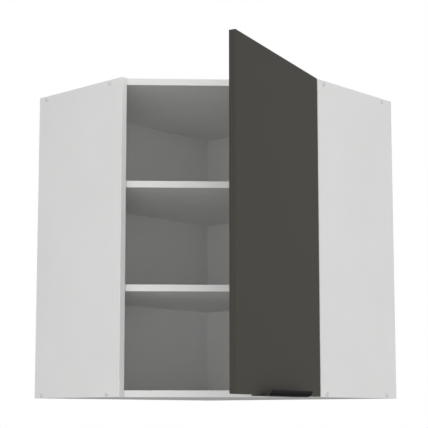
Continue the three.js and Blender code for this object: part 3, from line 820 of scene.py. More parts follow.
# ------------------------------------------------------------------ carcass
@dataclass
class Carcass:
    """The boards: two sides, top, bottom, two backs and two shelves."""

    edge_radius: float = 0.5 * MM
    sheet_radius: float = 0.2 * MM  # the thin back's edges
    band: float = 1.0 * MM  # thickness of the edging
    slip: float = 0.3 * MM  # clearance in bores and grooves
    run_in: float = 3.0 * MM  # of the screws' bores, outside the board
    head_depth: float = 6.1 * MM  # of the bores' wide part
    head_radius: float = 4.9 * MM
    shank_radius: float = 3.5 * MM
    plate_radius: float = 2.3 * MM  # of the bores for the hinge plates' screws
    notch_gap: float = 1.5 * MM  # round a hanger's hook
    wall_reach: float = 1.0 * MM  # a face this near a wall is a sawn rear edge

    def screw_tools(self) -> list[Workpiece]:
        """Makes the bores for the eight connecting screws.

        Returns:
            For each, a bore for the shank and a wide one for the head.
        """
        tools = []
        for screw in [Box(f"corner_screw_{number}") for number in EIGHT]:
            tools.append(screw.bore(screw.axis, self.shank_radius, self.run_in, self.slip))
            short = self.head_depth - screw.size.dot(screw.axis)
            tools.append(screw.bore(screw.axis, self.head_radius, self.run_in, short))
        return tools

    def stud_tools(self) -> list[Workpiece]:
        """Bores for the eight shelf studs."""
        pins = [Box(f"shelf_pin_{number}") for number in EIGHT]
        return [pin.bore(pin.axis, pin.radius + self.slip, self.slip, self.slip) for pin in pins]

    def plate_tools(self) -> list[Workpiece]:
        """Bores for the hinge plates' screws in the right side board."""
        screws = [Box(f"{level}_hinge_screw_{end}") for level in LEVELS for end in ("low", "high")]
        return [screw.bore(Y_AXIS, self.plate_radius, self.slip, -self.slip) for screw in screws]

    def back_groove(self) -> Workpiece:
        """The groove that the thin back lies in."""
        return groove(*Box("left_back_panel").grown(self.slip))

    def hook_notch(self, side: str) -> Workpiece:
        """The notch in the left or the right back for a hanger's hook."""
        return groove(*Box(f"{side}_hanger_hook").grown(self.notch_gap))

    def dress(
        self,
        board: Workpiece,
        sawn: Finish,
        band: Finish = LIGHTENED_UPRIGHT_BAND,
        in_band: Callable[[Vector], bool] = lambda middle: False,
    ) -> None:
        """Dresses a board in white foil, with bare rear edges and a front edging.

        Args:
            board: The board.
            sawn: The finish of the edges at the walls.
            band: The finish of the edging.
            in_band: Tells whether a point lies in the edging; as it is, none does.
        """

        def choose(middle: Vector, normal: Vector) -> Finish:
            """A face's finish, by its middle and normal."""
            rear = any(normal[i] > FACING and middle[i] > -self.wall_reach for i in (0, 1))
            return sawn if rear else band if in_band(middle) else WHITE_FOIL

        board.wear_by_face(choose)

    def edge(self, board: Workpiece, front: Vector, ahead: Vector, band: Finish, sawn: Finish) -> None:
        """Softens a board, scores its front edging off and dresses it.

        Args:
            board: The board.
            front: A point on its front.
            ahead: The direction that its front faces.
            band: The finish of the edging.
            sawn: The finish of the edges at the walls.
        """
        board.soften(self.edge_radius)
        line = front - ahead * self.band
        board.saw(line, ahead, through=False)
        self.dress(board, sawn, band, lambda middle: middle.dot(ahead) > line.dot(ahead))

    def side_board(self, side: str) -> None:
        """Builds a side board.

        Args:
            side: left or right.
        """
        box = Box(f"{side}_side_panel")
        board = Workpiece.block(f"{side}_side_board", box.low, box.high)
        # The upright edging's lighter colour is painted light that offsets the door's shade on the front
        # edge.
        self.edge(board, box.low, -Y_AXIS if side == "left" else -X_AXIS, LIGHTENED_UPRIGHT_BAND, SAWN_UPRIGHT)
        tools = self.screw_tools() + self.stud_tools() + [self.back_groove()]
        if side == "right":
            tools += self.plate_tools()
        board.cut(*tools)
        board.hand_over(Body.CARCASS, "white_board", f"{side}_side_panel")

    def flat_board(self, name: str, node: str) -> Workpiece:
        """Builds and dresses a five-sided board: top, bottom or shelf.

        Args:
            name: The piece's name.
            node: The construction node that it stands for.

        Returns:
            The board.
        """
        box = Box(node)
        front = FRONT.closed @ Vector((0.0, Box(node, FRONT.closed).high.y, 0.0))
        board = Workpiece.block(name, box.low, box.high)
        board.saw(front, FRONT.outwards)
        self.edge(board, front, FRONT.outwards, DIAGONAL_BAND, SAWN_LEVEL)
        return board

    def end_board(self, name: str, node: str) -> None:
        """Builds the top or the bottom, bored for the connecting screws and grooved for the back.

        Args:
            name: The piece's name.
            node: The construction node that it stands for.
        """
        board = self.flat_board(name, node)
        board.cut(*self.screw_tools(), self.back_groove())
        board.hand_over(Body.CARCASS, "white_board", node)

    def shelves(self) -> None:
        """Builds the lower shelf and copies it for the upper one."""
        lower = self.flat_board("lower_shelf_board", "lower_shelf")
        rise = Box("upper_shelf").low.z - Box("lower_shelf").low.z
        upper = lower.twin("upper_shelf_board", Matrix.Translation((0.0, 0.0, rise)))
        lower.hand_over(Body.CARCASS, "white_board", "lower_shelf")
        upper.hand_over(Body.CARCASS, "white_board", "upper_shelf")

    def right_back_board(self) -> None:
        """Builds the thick back on the right wall."""
        board = Workpiece.block("right_back_board", *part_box("right_back_panel"))
        board.soften(self.edge_radius)
        self.dress(board, SAWN_UPRIGHT)
        board.cut(self.back_groove(), self.hook_notch("right"))
        board.hand_over(Body.CARCASS, "white_board", "right_back_panel")

    def left_back_sheet(self) -> None:
        """Builds the thin back on the left wall, lacquered on its inner face only."""
        sheet = Workpiece.block("left_back_sheet", *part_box("left_back_panel"))
        sheet.soften(self.sheet_radius, 2)
        sheet.wear_by_face(lambda middle, normal: THIN_LACQUER if normal.y < -TOWARDS else BARE_FIBRE)
        sheet.cut(self.hook_notch("left"))
        sheet.hand_over(Body.CARCASS, "white_thin", "left_back_panel")

    def build(self) -> None:
        """Builds every board."""
        for side in ("left", "right"):
            self.side_board(side)
        self.end_board("top_board", "top_panel")
        self.end_board("bottom_board", "bottom_panel")
        self.shelves()
        self.right_back_board()
        self.left_back_sheet()


# ------------------------------------------------------------------ small fittings
@dataclass
class Fittings:
    """Caps over the connecting screws, the screws themselves and the shelf studs."""

    cap_rim: float = 0.5 * MM
    dome_steps: int = 8
    dome_tip: float = 0.05  # share of the cap's radius
    peg_radius: float = 1.9 * MM
    nose: float = 0.6 * MM  # of a stud's rounded ends

    def seat(self, number: int) -> tuple[Vector, Vector]:
        """Finds a cap's seat on its side board.

        Args:
            number: The cap's number.

        Returns:
            Which way the cap faces, and the middle of its seat.
        """
        cover = Box(f"screw_cover_{number}")
        at = cover.middle
        if cover.size.x < cover.size.y:
            at.x = Box("left_side_panel").low.x
            return -X_AXIS, at
        at.y = Box("right_side_panel").low.y
        return -Y_AXIS, at

    def caps(self) -> None:
        """Models one domed cap and copies it to its eight places."""
        cover = Box("screw_cover_1")
        outwards, seat = self.seat(1)
        radius, rim = cover.radius, self.cap_rim
        rise = (cover.low - seat).dot(outwards)
        rings = [(self.peg_radius, (cover.high - seat).dot(outwards)), (self.peg_radius, 0.0), (radius, 0.0)]
        for step in range(self.dome_steps):
            angle = step / self.dome_steps * math.pi / 2
            rings.append((radius * math.cos(angle), rim + (rise - rim) * math.sin(angle)))
        rings.append((radius * self.dome_tip, rise))
        model = Workpiece.turned("cap", rings, ROUND, pointed=True).wear(CAP_PLASTIC)
        places = [(f"domed_cap_{n}", aimed(*self.seat(n)), f"screw_cover_{n}") for n in EIGHT]
        model.deal_out(Body.CARCASS, "white_plastic", places)

    def studs(self) -> None:
        """Models one shelf stud and copies it to its eight places."""
        pins = [Box(f"shelf_pin_{number}") for number in EIGHT]
        radius, nose = pins[0].radius, self.nose
        length = max(pins[0].size.xy)
        rings = [(radius - nose, 0.0), (radius, nose), (radius, length - nose)]
        rings += [(radius - nose / 3, length - nose / 3), (radius - nose, length)]
        seats = [aimed(pin.axis, pin.middle - pin.axis * length / 2) for pin in pins]
        places = [(f"shelf_stud_{n}", seat, f"shelf_pin_{n}") for n, seat in zip(EIGHT, seats)]
        Workpiece.turned("stud", rings).wear(ZINC).deal_out(Body.CARCASS, "zinc_steel", places)

    def build(self) -> None:
        """Builds the caps and studs and plates the hidden connecting screws."""
        self.caps()
        self.studs()
        for number in EIGHT:
            materials = frame["nodes"][f"corner_screw_{number}"].data.materials
            materials.clear()
            materials.append(ZINC.material())


@dataclass
class Hangers:
    """The wall hangers in the upper rear corners: a housing, a bent hook and an adjusting bolt."""

    softness: float = 0.35 * MM
    hook_bend: float = 2.3 * MM
    bolt_radius: float = 3.0 * MM
    bolt_head: float = 4.2 * MM
    head_height: float = 2.5 * MM
    head_bevel: float = 0.3 * MM
    head_top: float = 0.9  # shares of the head's radius: its flat top
    bolt_recess: float = 0.65  # and its cross recess
    bolt_length: float = 27 * MM
    bolt_drop: float = 15 * MM  # below the hook

    def hook(self, side: str, to_wall: Vector) -> None:
        """Builds a hook, bent over a round where it turns down behind the back.

        Args:
            side: left or right.
            to_wall: The direction of its wall.
        """
        box = Box(f"{side}_hanger_hook")

        def outer_bend(edge: object) -> bool:
            """Whether an edge is the corner between the hook's top and its wall side."""
            offs = [box.high - v.co for v in edge.verts]
            return all(abs(off.z) < NEAR and abs(off.dot(to_wall)) < NEAR for off in offs)

        hook = Workpiece.copy_of(f"{side}_hanger_claw", f"{side}_hanger_hook")
        hook.soften(self.hook_bend, 6, outer_bend)
        hook.soften(self.softness)
        hook.wear(ZINC).hand_over(Body.CARCASS, "zinc_steel", f"{side}_hanger_hook")

    def bolt_model(self) -> Workpiece:
        """Models the bolt that sets how far a hook reaches.

        Returns:
            The bolt, pointing along +Z.
        """
        head, shank, end = self.bolt_head, self.bolt_radius, self.bolt_length
        rings = [(head * self.head_top, 0.0), (head, self.head_bevel), (head, self.head_height)]
        rings += [(shank, self.head_height), (shank, end - MM), (shank / 2, end)]
        return Workpiece.cross_screw("hanger_bolt", rings, head * self.bolt_recess).wear(ZINC)

    def bolt_seat(self, side: str, to_wall: Vector) -> Matrix:
        """Finds where a bolt's head lies, below the hook and facing the room.

        Args:
            side: left or right.
            to_wall: The direction of its wall.

        Returns:
            The bolt's place.
        """
        hook = Box(f"{side}_hanger_hook")
        back = Box(f"{side}_hanger_housing").high.dot(to_wall)
        face = hook.middle - to_wall * (hook.middle.dot(to_wall) - back + self.bolt_length)
        return aimed(to_wall, (face.x, face.y, hook.high.z - self.bolt_drop))

    def build(self) -> None:
        """Builds both hangers."""
        bolt = self.bolt_model()
        for side, to_wall in (("left", Y_AXIS), ("right", X_AXIS)):
            housing = Workpiece.copy_of(f"{side}_hanger_case", f"{side}_hanger_housing")
            housing.soften(self.softness, 2)
            housing.wear(CASE_PLASTIC).hand_over(Body.CARCASS, "white_plastic", f"{side}_hanger_housing")
            self.hook(side, to_wall)
            copy = bolt.twin(f"{side}_hanger_bolt", self.bolt_seat(side, to_wall))
            copy.hand_over(Body.CARCASS, "zinc_steel")
        bpy.data.objects.remove(bolt.obj)


# ------------------------------------------------------------------ hinges
@dataclass
class Hinges:
    """The two concealed hinges; each piece is modelled for the lower one and copied to the upper."""

    softness: float = 0.25 * MM
    pin_radius: float = 1.5 * MM
    pin_play: float = 0.2 * MM
    eye_radius: float = 3.1 * MM
    lever_half: float = 2.1 * MM
    cheek: float = 1.4 * MM  # thickness of the coupler's two cheeks
    bush_step: float = 0.1 * MM  # the bush is this much thinner than the eyes
    cup_radius: float = 17.2 * MM
    cup_wall: float = 1.0 * MM
    cup_round: float = 1.6 * MM  # at the foot of the bowl
    cup_cut: float = 0.3  # share of that round at which it has its middle ring
    pad: tuple[float, float] = (0.4, 0.36)  # foot and top of the bowl's raised middle, shares of its radius
    pad_rise: float = 0.4 * MM
    lip: float = 0.35 * MM  # bevel of the cup's rim, and depth of the ears' dimples
    flange_slip: float = 0.3 * MM  # between the flange and the door
    ear_radius: float = 6.0 * MM
    dimple_radius: float = 2.7 * MM
    notch_slip: float = 0.6 * MM
    notch_depth: float = 5.0 * MM  # into the door, for the coupler's swing
    wing_corner: float = 5.0 * MM
    slot_length: float = 0.16  # shares of the arm's length: the slot's,
    slot_at: float = 0.68  # its place
    bolts_at: tuple[float, float] = (0.42, 0.76)  # and the bolts' places
    slot_depth: float = 2.5 * MM
    bolt_radius: float = 3.2 * MM
    bolt_rise: float = 1.1 * MM
    bolt_side: float = 0.8  # share of the rise that is upright
    bolt_sink: float = 0.1 * MM  # how deep the upright side goes into the arm,
    bolt_depth: float = 0.4 * MM  # and the whole bolt
    bolt_top: float = 0.9  # shares of its radius: the flat top,
    bolt_foot: float = 0.3  # its foot in the arm,
    bolt_recess: float = 0.62  # its cross recess
    slot_width: float = 0.65  # and the slot's half width
    screw_shank: float = 2.0 * MM
    screw_slip: float = 0.3 * MM

    def __post_init__(self) -> None:
        """Takes the pins' places from the joints and the lower hinge's height from its cup."""
        self.swing = Vector(joint("door_swing")["pos_m"])
        self.outer_pin = Vector(joint("outer_lever_turn")["pos_m"])
        self.inner_pin = Vector(joint("inner_lever_turn")["pos_m"])
        self.cup_pin = Vector(joint("coupler_turn")["pos_m"])
        self.height = Box("lower_hinge_cup").middle.z

    def beside(self, start: Vector, along: Vector) -> Matrix:
        """An upright frame at the lower hinge's height, with +X along a direction."""
        turn = Matrix.Rotation(math.atan2(along.y, along.x), 4, "Z")
        return Matrix.Translation((start.x, start.y, self.height)) @ turn

    def eye_bore(self, at: float) -> Workpiece:
        """A bore for a pin, through an eye at a distance along a link."""
        end = Box("lower_coupler").radius + MM
        return bore(Z_AXIS, Vector((at, 0.0, -end)), 2 * end, self.pin_radius + self.pin_play)

    def lever(self, kind: str, pin: Vector) -> Workpiece:
        """Models one of the two equal levers.

        Args:
            kind: Its node's name without the level.
            pin: The arm's pin that it turns on.

        Returns:
            The lever in its place.
        """
        box = Box(f"lower_{kind}")
        along = self.cup_pin - self.swing
        levels = (box.low.z - self.height, box.high.z - self.height)
        lever = Workpiece.link("lever", along.length, self.eye_radius, self.lever_half, *levels)
        lever.cut(self.eye_bore(0.0), self.eye_bore(along.length))
        lever.soften(self.softness, 2)
        return lever.place(self.beside(pin, along))

    def coupler(self) -> Workpiece:
        """Models two cheeks outside the levers, a bush round the cup's pin and the levers' far pins.

        Returns:
            The coupler in its place.
        """
        along = self.outer_pin - self.swing
        half = Box("lower_coupler").radius
        inner, end = half - self.cheek, half - self.cheek / 2
        form = (along.length, self.eye_radius, self.lever_half)
        piece = Workpiece.link("coupler", *form, inner, half)
        bush = self.eye_radius - self.bush_step
        piece.join(Workpiece.link("cheek", *form, -half, -inner))
        piece.join(Workpiece.turned("bush", [(bush, -end), (bush, end)]))
        piece.cut(self.eye_bore(0.0))
        piece.soften(self.softness, 2)
        for back in (0.0, (self.outer_pin - self.inner_pin).length):
            at = Vector((along.length - back, 0.0, 0.0))
            piece.join(Workpiece.rivet(at, self.pin_radius, -half, half))
        return piece.place(self.beside(self.cup_pin, along))

    def arm(self) -> Workpiece:
        """Models the arm with riveted pins, an oblong slot and its two adjusting bolts.

        Returns:
            The arm in its place.
        """
        box = Box("lower_hinge_arm")
        arm = Workpiece.copy_of("arm", "lower_hinge_arm")
        arm.soften(self.softness, 2)
        levels = (self.height - box.radius, self.height + box.radius)
        for pin in (self.outer_pin, self.inner_pin):
            arm.join(Workpiece.rivet(pin, self.pin_radius, *levels))
        length = box.size.x
        start = Vector((box.low.x, box.high.y, self.height))
        eye, radius, rise = self.bolt_radius * self.slot_width, self.bolt_radius, self.bolt_rise
        slot = Workpiece.link("slot", length * self.slot_length, eye, eye, -self.slot_depth, MM)
        arm.cut(slot.place(aimed(Y_AXIS, start + X_AXIS * length * self.slot_at)))
        rings = [(radius * self.bolt_top, -rise), (radius, -rise * self.bolt_side)]
        rings += [(radius, self.bolt_sink), (radius * self.bolt_foot, self.bolt_depth)]
        for share in self.bolts_at:
            bolt = Workpiece.cross_screw("bolt", rings, radius * self.bolt_recess)
            arm.join(bolt.place(aimed(-Y_AXIS, start + X_AXIS * length * share)))
        return arm

    def plate(self) -> Workpiece:
        """Models the plate, its wings' corners rounded and its screw holes countersunk.

        Returns:
            The plate in its place.
        """
        box = Box("lower_hinge_plate")

        def wing_corner(edge: object) -> bool:
            """Finds the edges at the wings' ends that lie along the plate's thickness.

            Args:
                edge: An edge of the plate.

            Returns:
                Whether it is one of them.
            """
            first, second = (vertex.co for vertex in edge.verts)
            at_end = min(abs(first.z - box.low.z), abs(first.z - box.high.z)) < NEAR
            return at_end and abs(first.z - second.z) < NEAR and abs(first.x - second.x) < NEAR

        plate = Workpiece.copy_of("plate", "lower_hinge_plate")
        plate.soften(self.wing_corner, 6, wing_corner)
        for screw in (Box("lower_hinge_screw_low"), Box("lower_hinge_screw_high")):
            depth = screw.high.y - box.low.y + MM
            tool = countersink(screw.radius + self.screw_slip, self.screw_shank + self.screw_slip, depth)
            plate.cut(tool.place(aimed(-Y_AXIS, (screw.middle.x, screw.high.y, screw.middle.z))))
        plate.soften(self.softness, 2)
        return plate

    def bowl(self, flange: float, low: float, seat: float, foot: float) -> list[Ring]:
        """The cup's section, outside and in.

        Args:
            flange: Radius of the flange.
            low: Height of its face.
            seat: Height of its back.
            foot: Height of the bowl's foot.

        Returns:
            Its rings.
        """
        outer, inner = self.cup_radius, self.cup_radius - self.cup_wall
        bend, floor, lip = self.cup_round, foot - self.cup_wall, self.lip
        cut = bend * self.cup_cut
        pad_foot, pad_top = (inner * share for share in self.pad)
        return [
            (outer - bend, foot),
            (outer - cut, foot - cut),
            (outer, foot - bend),
            (outer, seat),
            (flange - lip, seat),
            (flange, seat - lip),
            (flange, low + lip),
            (flange - lip, low),
            (inner + lip, low),
            (inner, low + lip),
            (inner, floor - bend),
            (inner - cut, floor - cut),
            (inner - bend, floor),
            (pad_foot, floor),
            (pad_top, floor - self.pad_rise),
        ]

    def cup(self) -> Workpiece:
        """Models the cup: a drawn bowl with a flange, two ears, a notch for the levers and its pin.

        Returns:
            The cup in its place.
        """
        box = Box("lower_hinge_cup", FRONT.door)
        low, high, ear_radius, dimple = box.low, box.high, self.ear_radius, self.dimple_radius
        door_back = Box("door_panel", FRONT.door).low.y
        seat = door_back - self.flange_slip
        middle = Vector((box.middle.x, 0.0, self.height))
        flange, inner = box.size.x / 2, self.cup_radius - self.cup_wall
        cup = Workpiece.turned("cup", self.bowl(flange, low.y, seat, high.y), ROUND)
        cup.place(aimed(Y_AXIS, middle))
        ear = Workpiece.link("ear", box.size.z - 2 * ear_radius, ear_radius, ear_radius, low.y, seat)
        upright = Matrix.Rotation(math.pi / 2, 4, "Y") @ aimed(Y_AXIS)
        ear.place(Matrix.Translation((middle.x, 0.0, low.z + ear_radius)) @ upright)
        opening = Workpiece.turned("opening", [(inner, low.y - MM), (inner, seat + MM)], ROUND)
        ear.cut(opening.place(aimed(Y_AXIS, middle)))
        ear.soften(self.softness, 2)
        rings = [(dimple, low.y - MM), (dimple, low.y), (dimple / 2, low.y + self.lip)]
        for end in (low.z + ear_radius, high.z - ear_radius):
            ear.cut(Workpiece.turned("dimple", rings).place(aimed(Y_AXIS, (middle.x, 0.0, end))))
        cup.join(ear)
        notch = Box("lower_coupler").radius + self.notch_slip
        notch_low = Vector((middle.x - flange - MM, low.y - MM, middle.z - notch))
        notch_high = Vector((middle.x - inner / 2, door_back + self.notch_depth, middle.z + notch))
        cup.cut(Workpiece.block("notch", notch_low, notch_high))
        pin_at = FRONT.door.inverted() @ self.cup_pin
        reach = math.sqrt(inner ** 2 - (pin_at.x - middle.x) ** 2) + self.cup_wall / 2
        pin = Workpiece.turned("pin", [(self.pin_radius, -reach), (self.pin_radius, reach)])
        cup.join(pin.place(Matrix.Translation((pin_at.x, pin_at.y, middle.z))))
        return cup.place(FRONT.door)

    def fit(self, kind: str, model: Workpiece, body: Body) -> None:
        """Hands over the lower hinge's piece and a copy of it for the upper hinge.

        Args:
            kind: Its node's name without the level.
            model: The piece in the lower hinge.
            body: What it rides on.
        """
        rise = Box(f"upper_{kind}").low.z - Box(f"lower_{kind}").low.z
        model.wear(NICKEL)
        copy = model.twin(f"upper_{kind}_pressing", Matrix.Translation((0.0, 0.0, rise)))
        model.rename(f"lower_{kind}_pressing")
        model.hand_over(body, "nickel_steel", f"lower_{kind}")
        copy.hand_over(body, "nickel_steel", f"upper_{kind}")

    def plate_screws(self) -> None:
        """Models one plate screw and copies it to its four places."""
        screw = Box("lower_hinge_screw_low")
        head, length, shank = screw.radius, screw.size.y, self.screw_shank
        rings = [(head, 0.0), (shank, head - shank), (shank, length - shank), (shank / POINT, length)]
        places = []
        for level, end in ((level, end) for level in LEVELS for end in ("low", "high")):
            node = f"{level}_hinge_screw_{end}"
            screw = Box(node)
            seat = aimed(-Y_AXIS, (screw.middle.x, screw.high.y, screw.middle.z))
            places.append((f"{level}_plate_bolt_{end}", seat, node))
        model = Workpiece.cross_screw("plate_screw", rings, head * RECESS).wear(ZINC)
        model.deal_out(Body.CARCASS, "zinc_steel", places)

    def build(self) -> None:
        """Builds both hinges."""
        self.fit("hinge_plate", self.plate(), Body.CARCASS)
        self.fit("hinge_arm", self.arm(), Body.CARCASS)
        self.fit("outer_lever", self.lever("outer_lever", self.outer_pin), Body.OUTER_LEVERS)
        self.fit("inner_lever", self.lever("inner_lever", self.inner_pin), Body.INNER_LEVERS)
        self.fit("coupler", self.coupler(), Body.COUPLERS)
        self.fit("hinge_cup", self.cup(), Body.DOOR)
        self.plate_screws()


# ------------------------------------------------------------------ door
@dataclass
class Door:
    """The door slab, its edge handle with two screws, and its soft stops."""

    edge_radius: float = 0.9 * MM
    cup_gap: float = 0.3 * MM
    handle_thickness: float = 2.4 * MM
    handle_softness: float = 0.4 * MM
    handle_flat: float = 12 * MM  # flat part in front of the door
    bend_steps: int = 14
    tip_height: float = 11 * MM
    cup_hole_radius: float = 17.5 * MM
    screw_shank: float = 1.7 * MM
    screw_slip: float = 0.2 * MM
    screw_rim: float = 0.25 * MM

    def __post_init__(self) -> None:
        """Measures the door's nodes in its own frame."""
        self.panel = Box("door_panel", FRONT.door)
        self.screw_boxes = {node: Box(node, FRONT.door) for node in ("handle_screw_1", "handle_screw_2")}

    def slab(self) -> None:
        """Builds the door slab with its blind holes for the hinge cups and the handle's screws."""
        low = self.panel.low
        slab = Workpiece.block("door_slab", low, self.panel.high)
        slab.soften(self.edge_radius, 4)

        def choose(middle: Vector, normal: Vector) -> Finish:
            """A face's finish: the rounded edges have their own."""
            return DOOR_LACQUER if max(map(abs, normal)) > FLAT else DOOR_EDGE_LACQUER

        slab.wear_by_face(choose)
        tools = []
        for level in LEVELS:
            cup = Box(f"{level}_hinge_cup", FRONT.door)
            start = Vector((cup.middle.x, low.y - MM, cup.middle.z))
            depth = cup.high.y - low.y + MM + self.cup_gap
            tools.append(bore(Y_AXIS, start, depth, self.cup_hole_radius, ROUND))
        for screw in self.screw_boxes.values():
            tools.append(screw.bore(Y_AXIS, self.screw_shank + self.screw_slip))
        slab.cut(*tools)
        slab.place(FRONT.door).hand_over(Body.DOOR, "grey_door", "door_panel")

    def handle(self) -> None:
        """Draws the handle's rail from a flange by extruding and spinning, and thickens it."""
        box = Box("edge_handle", FRONT.door)
        half, middle = self.handle_thickness / 2, box.middle.x
        flange_out, base = box.low.y + half, box.low.z + half
        start_clean()
        bpy.ops.mesh.primitive_plane_add(
            size=1.0,
            location=(middle, flange_out, (base + box.high.z) / 2),
            rotation=(math.pi / 2, 0.0, 0.0),
        )
        bpy.context.object.scale = (box.size.x, box.high.z - base, 1.0)
        rail = Workpiece("edge_handle_rail")
        flat_end = self.panel.high.y + self.handle_flat
        outer = box.high.y - flat_end
        centre = Vector((middle, flat_end, box.low.z + outer))
        lift = math.asin((self.tip_height - centre.z) / outer) + math.pi / 2
        with rail.selecting(Pick.EDGES, lambda e: all(abs(v.co.z - base) < MERGE for v in e.verts)):
            forwards = (0.0, flat_end - flange_out, 0.0)
            bpy.ops.mesh.extrude_edges_move(TRANSFORM_OT_translate={"value": forwards})
        with rail.selecting(Pick.EDGES, lambda e: all(abs(v.co.y - flat_end) < MERGE for v in e.verts)):
            bpy.ops.mesh.spin(steps=self.bend_steps, angle=lift, center=centre, axis=(-1.0, 0.0, 0.0))
        with rail.selecting(Pick.FACES):
            bpy.ops.mesh.remove_doubles(threshold=MERGE)
        rail.face_outwards()
        rail.run_modifier("SOLIDIFY", thickness=self.handle_thickness, offset=0.0, use_even_offset=True)
        rail.face_outwards()
        rail.soften(self.handle_softness)
        for screw in self.screw_boxes.values():
            head = screw.radius + self.screw_slip
            tool = countersink(head, self.screw_shank + self.screw_slip, head)
            tool.place(aimed(Y_AXIS, (screw.middle.x, screw.low.y, screw.middle.z)))
            rail.cut(tool.wear(BLACK_ANODISED))
        rail.place(FRONT.door).wear(BLACK_ANODISED).hand_over(Body.DOOR, "black_handle", "edge_handle")

    def screws(self) -> None:
        """Models one countersunk handle screw and copies it to both places."""
        first = self.screw_boxes["handle_screw_1"]
        head, length, shank = first.radius, first.size.y, self.screw_shank
        rings = [(head, 0.0), (head, self.screw_rim), (shank, head - shank), (shank, length - shank)]
        model = Workpiece.cross_screw("handle_screw", [*rings, (shank / POINT, length)], head * RECESS)
        model.wear(ZINC)
        places = []
        for number, (node, box) in enumerate(self.screw_boxes.items(), 1):
            seat = FRONT.door @ aimed(Y_AXIS, (box.middle.x, first.low.y, box.middle.z))
            places.append((f"handle_bolt_{number}", seat, node))
        model.deal_out(Body.DOOR, "zinc_steel", places)

    def stops(self) -> None:
        """Models one soft stop, domed where it meets the carcass, and copies it to both places."""
        boxes = {level: Box(f"{level}_door_stop", FRONT.door) for level in LEVELS}
        radius, rise = boxes["lower"].radius, boxes["lower"].size.y
        profile = [(1.0, 0.0), (0.97, 0.5), (0.85, 0.8), (0.6, 0.95), (0.3, 1.0)]
        rings = [(radius * across, rise * up) for across, up in profile]
        places = []
        for level, box in boxes.items():
            seat = FRONT.door @ aimed(-Y_AXIS, (box.middle.x, boxes["lower"].high.y, box.middle.z))
            places.append((f"{level}_door_buffer", seat, f"{level}_door_stop"))
        model = Workpiece.turned("door_stop", rings, pointed=True).wear(CLEAR_RUBBER)
        model.deal_out(Body.DOOR, "soft_clear", places)

    def build(self) -> None:
        """Builds the door and what is on it."""
        self.slab()
        self.handle()
        self.screws()
        self.stops()


# ------------------------------------------------------------------ studio
@dataclass
class Lamp:
    """One soft box."""

    name: str
    place: tuple[float, float, float]
    size: float
    power: float


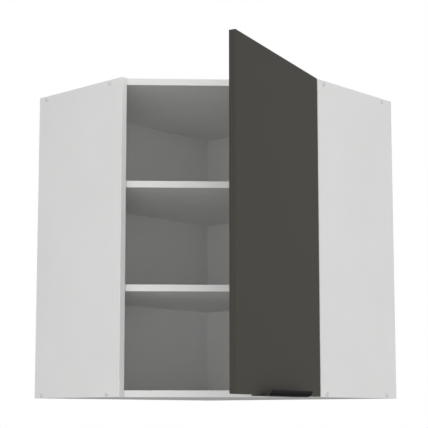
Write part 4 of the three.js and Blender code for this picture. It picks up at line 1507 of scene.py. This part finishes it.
@dataclass
class Studio:
    """Camera, floor, white surroundings and soft light."""

    camera_place: tuple[float, float, float] = (-2.5000, -2.3289, -0.0401)
    heading: float = 0.7469  # radians from +X
    pitch: float = 0.1312
    lens: float = 106.752
    shift: float = 0.08
    sensor: float = 36.0  # millimetres, as the lens is
    sight: float = 200.0  # how far the camera sees
    floor_height: float = -0.9
    floor_size: float = 80.0
    floor_albedo: float = 0.34  # as light falls on it
    floor_shadow: float = 0.6  # share of the seen floor that takes shadow
    floor_glow: float = 0.6  # the rest, so that an open stretch of floor comes out white
    sky: float = 0.685
    target: tuple[float, float, float] = (-0.3, -0.3, 0.36)
    lamps: tuple[Lamp, ...] = (
        Lamp("right_softbox", (2.6, -2.4, 0.9), 2.4, 22.0),
        Lamp("left_softbox", (-3.2, -2.0, 0.1), 2.2, 13.0),
        Lamp("high_softbox", (-2.6, -2.5, 1.6), 2.0, 19.0),
        Lamp("low_softbox", (-2.3, -2.1, -0.75), 1.6, 20.0),
        Lamp("rear_softbox", (2.2, 2.6, 1.4), 2.4, 22.0),
    )

    def show(self, bench: NodeBench, lit: Socket, seen: Socket, output: str) -> None:
        """Ends a tree: one shader for light, another for what is seen.

        Args:
            bench: The tree.
            lit: What light meets.
            seen: What the camera sees directly, in a mirror or through glass.
            output: The output node's type, without ShaderNodeOutput.
        """
        path = bench.nodes.new("ShaderNodeLightPath").outputs
        total = path["Is Camera Ray"]
        for kind in ("Is Glossy Ray", "Is Transmission Ray"):
            total = bench.add("Math", {0: total, 1: path[kind]})
            total.node.use_clamp = True
        surface = bench.add("MixShader", {"Fac": total, 1: lit, 2: seen})
        bench.feed(bench.nodes.new(f"ShaderNodeOutput{output}"), {"Surface": surface})

    def surroundings(self) -> None:
        """White to the eye, and an even soft light on the cabinet."""
        world = bpy.data.worlds.new("studio")
        bpy.context.scene.world = world
        bench = NodeBench(world)
        bench.nodes.clear()
        white = (1.0, 1.0, 1.0, 1.0)
        shades = [bench.add("Background", {"Color": white, "Strength": level}) for level in (self.sky, 1.0)]
        self.show(bench, *shades, "World")

    def floor(self) -> None:
        """A plain pale floor that keeps the cabinet's shadow."""
        start_clean()
        bpy.ops.mesh.primitive_plane_add(size=self.floor_size, location=(0.0, 0.0, self.floor_height))
        floor = bpy.context.object
        floor.name = "floor"
        bpy.ops.object.transform_apply(location=True, rotation=True, scale=True)
        material = bpy.data.materials.new("pale_floor")
        bench = NodeBench(material)
        bench.nodes.clear()
        shares = (self.floor_albedo, self.floor_shadow)
        lit, shaded = (bench.add("BsdfDiffuse", {"Color": (share, share, share, 1.0)}) for share in shares)
        glow = bench.add("Emission", {"Strength": self.floor_glow})
        self.show(bench, lit, bench.add("AddShader", {0: shaded, 1: glow}), "Material")
        floor.data.materials.append(material)

    def hang(self, name: str, data: bpy.types.ID, place: Sequence[float], ahead: Vector) -> bpy.types.Object:
        """Puts a lamp or the camera in its place.

        Args:
            name: The object's name.
            data: The lamp or the camera.
            place: Where it stands.
            ahead: Where it looks.

        Returns:
            The object.
        """
        thing = bpy.data.objects.new(name, data)
        bpy.context.scene.collection.objects.link(thing)
        thing.location = place
        thing.rotation_euler = ahead.to_track_quat("-Z", "Y").to_euler()
        return thing

    def soft_boxes(self) -> None:
        """Hangs the lamps, turned to the cabinet and unseen by the camera."""
        for lamp in self.lamps:
            light = bpy.data.lights.new(lamp.name, "AREA")
            light.shape = "SQUARE"
            light.size = lamp.size
            light.energy = lamp.power
            aim = Vector(self.target) - Vector(lamp.place)
            self.hang(lamp.name, light, lamp.place, aim).visible_camera = False

    def camera(self) -> None:
        """Sets the photograph's viewpoint."""
        data = bpy.data.cameras.new("camera")
        data.sensor_width = self.sensor
        data.lens = self.lens
        data.shift_y = self.shift
        data.clip_end = self.sight
        level = math.cos(self.pitch)
        ahead = Vector((math.cos(self.heading) * level, math.sin(self.heading) * level, math.sin(self.pitch)))
        bpy.context.scene.camera = self.hang("camera", data, self.camera_place, ahead)

    def build(self) -> None:
        """Sets up the studio."""
        bpy.context.scene.view_settings.view_transform = "Standard"
        self.camera()
        self.surroundings()
        self.floor()
        self.soft_boxes()


def main() -> None:
    """Sets up the studio and builds the cabinet, sub-assembly by sub-assembly."""
    logging.basicConfig(level=logging.INFO, format="%(message)s")
    Studio().build()
    Carcass().build()
    Fittings().build()
    Hangers().build()
    Hinges().build()
    Door().build()


if __name__ == "__main__":
    main()
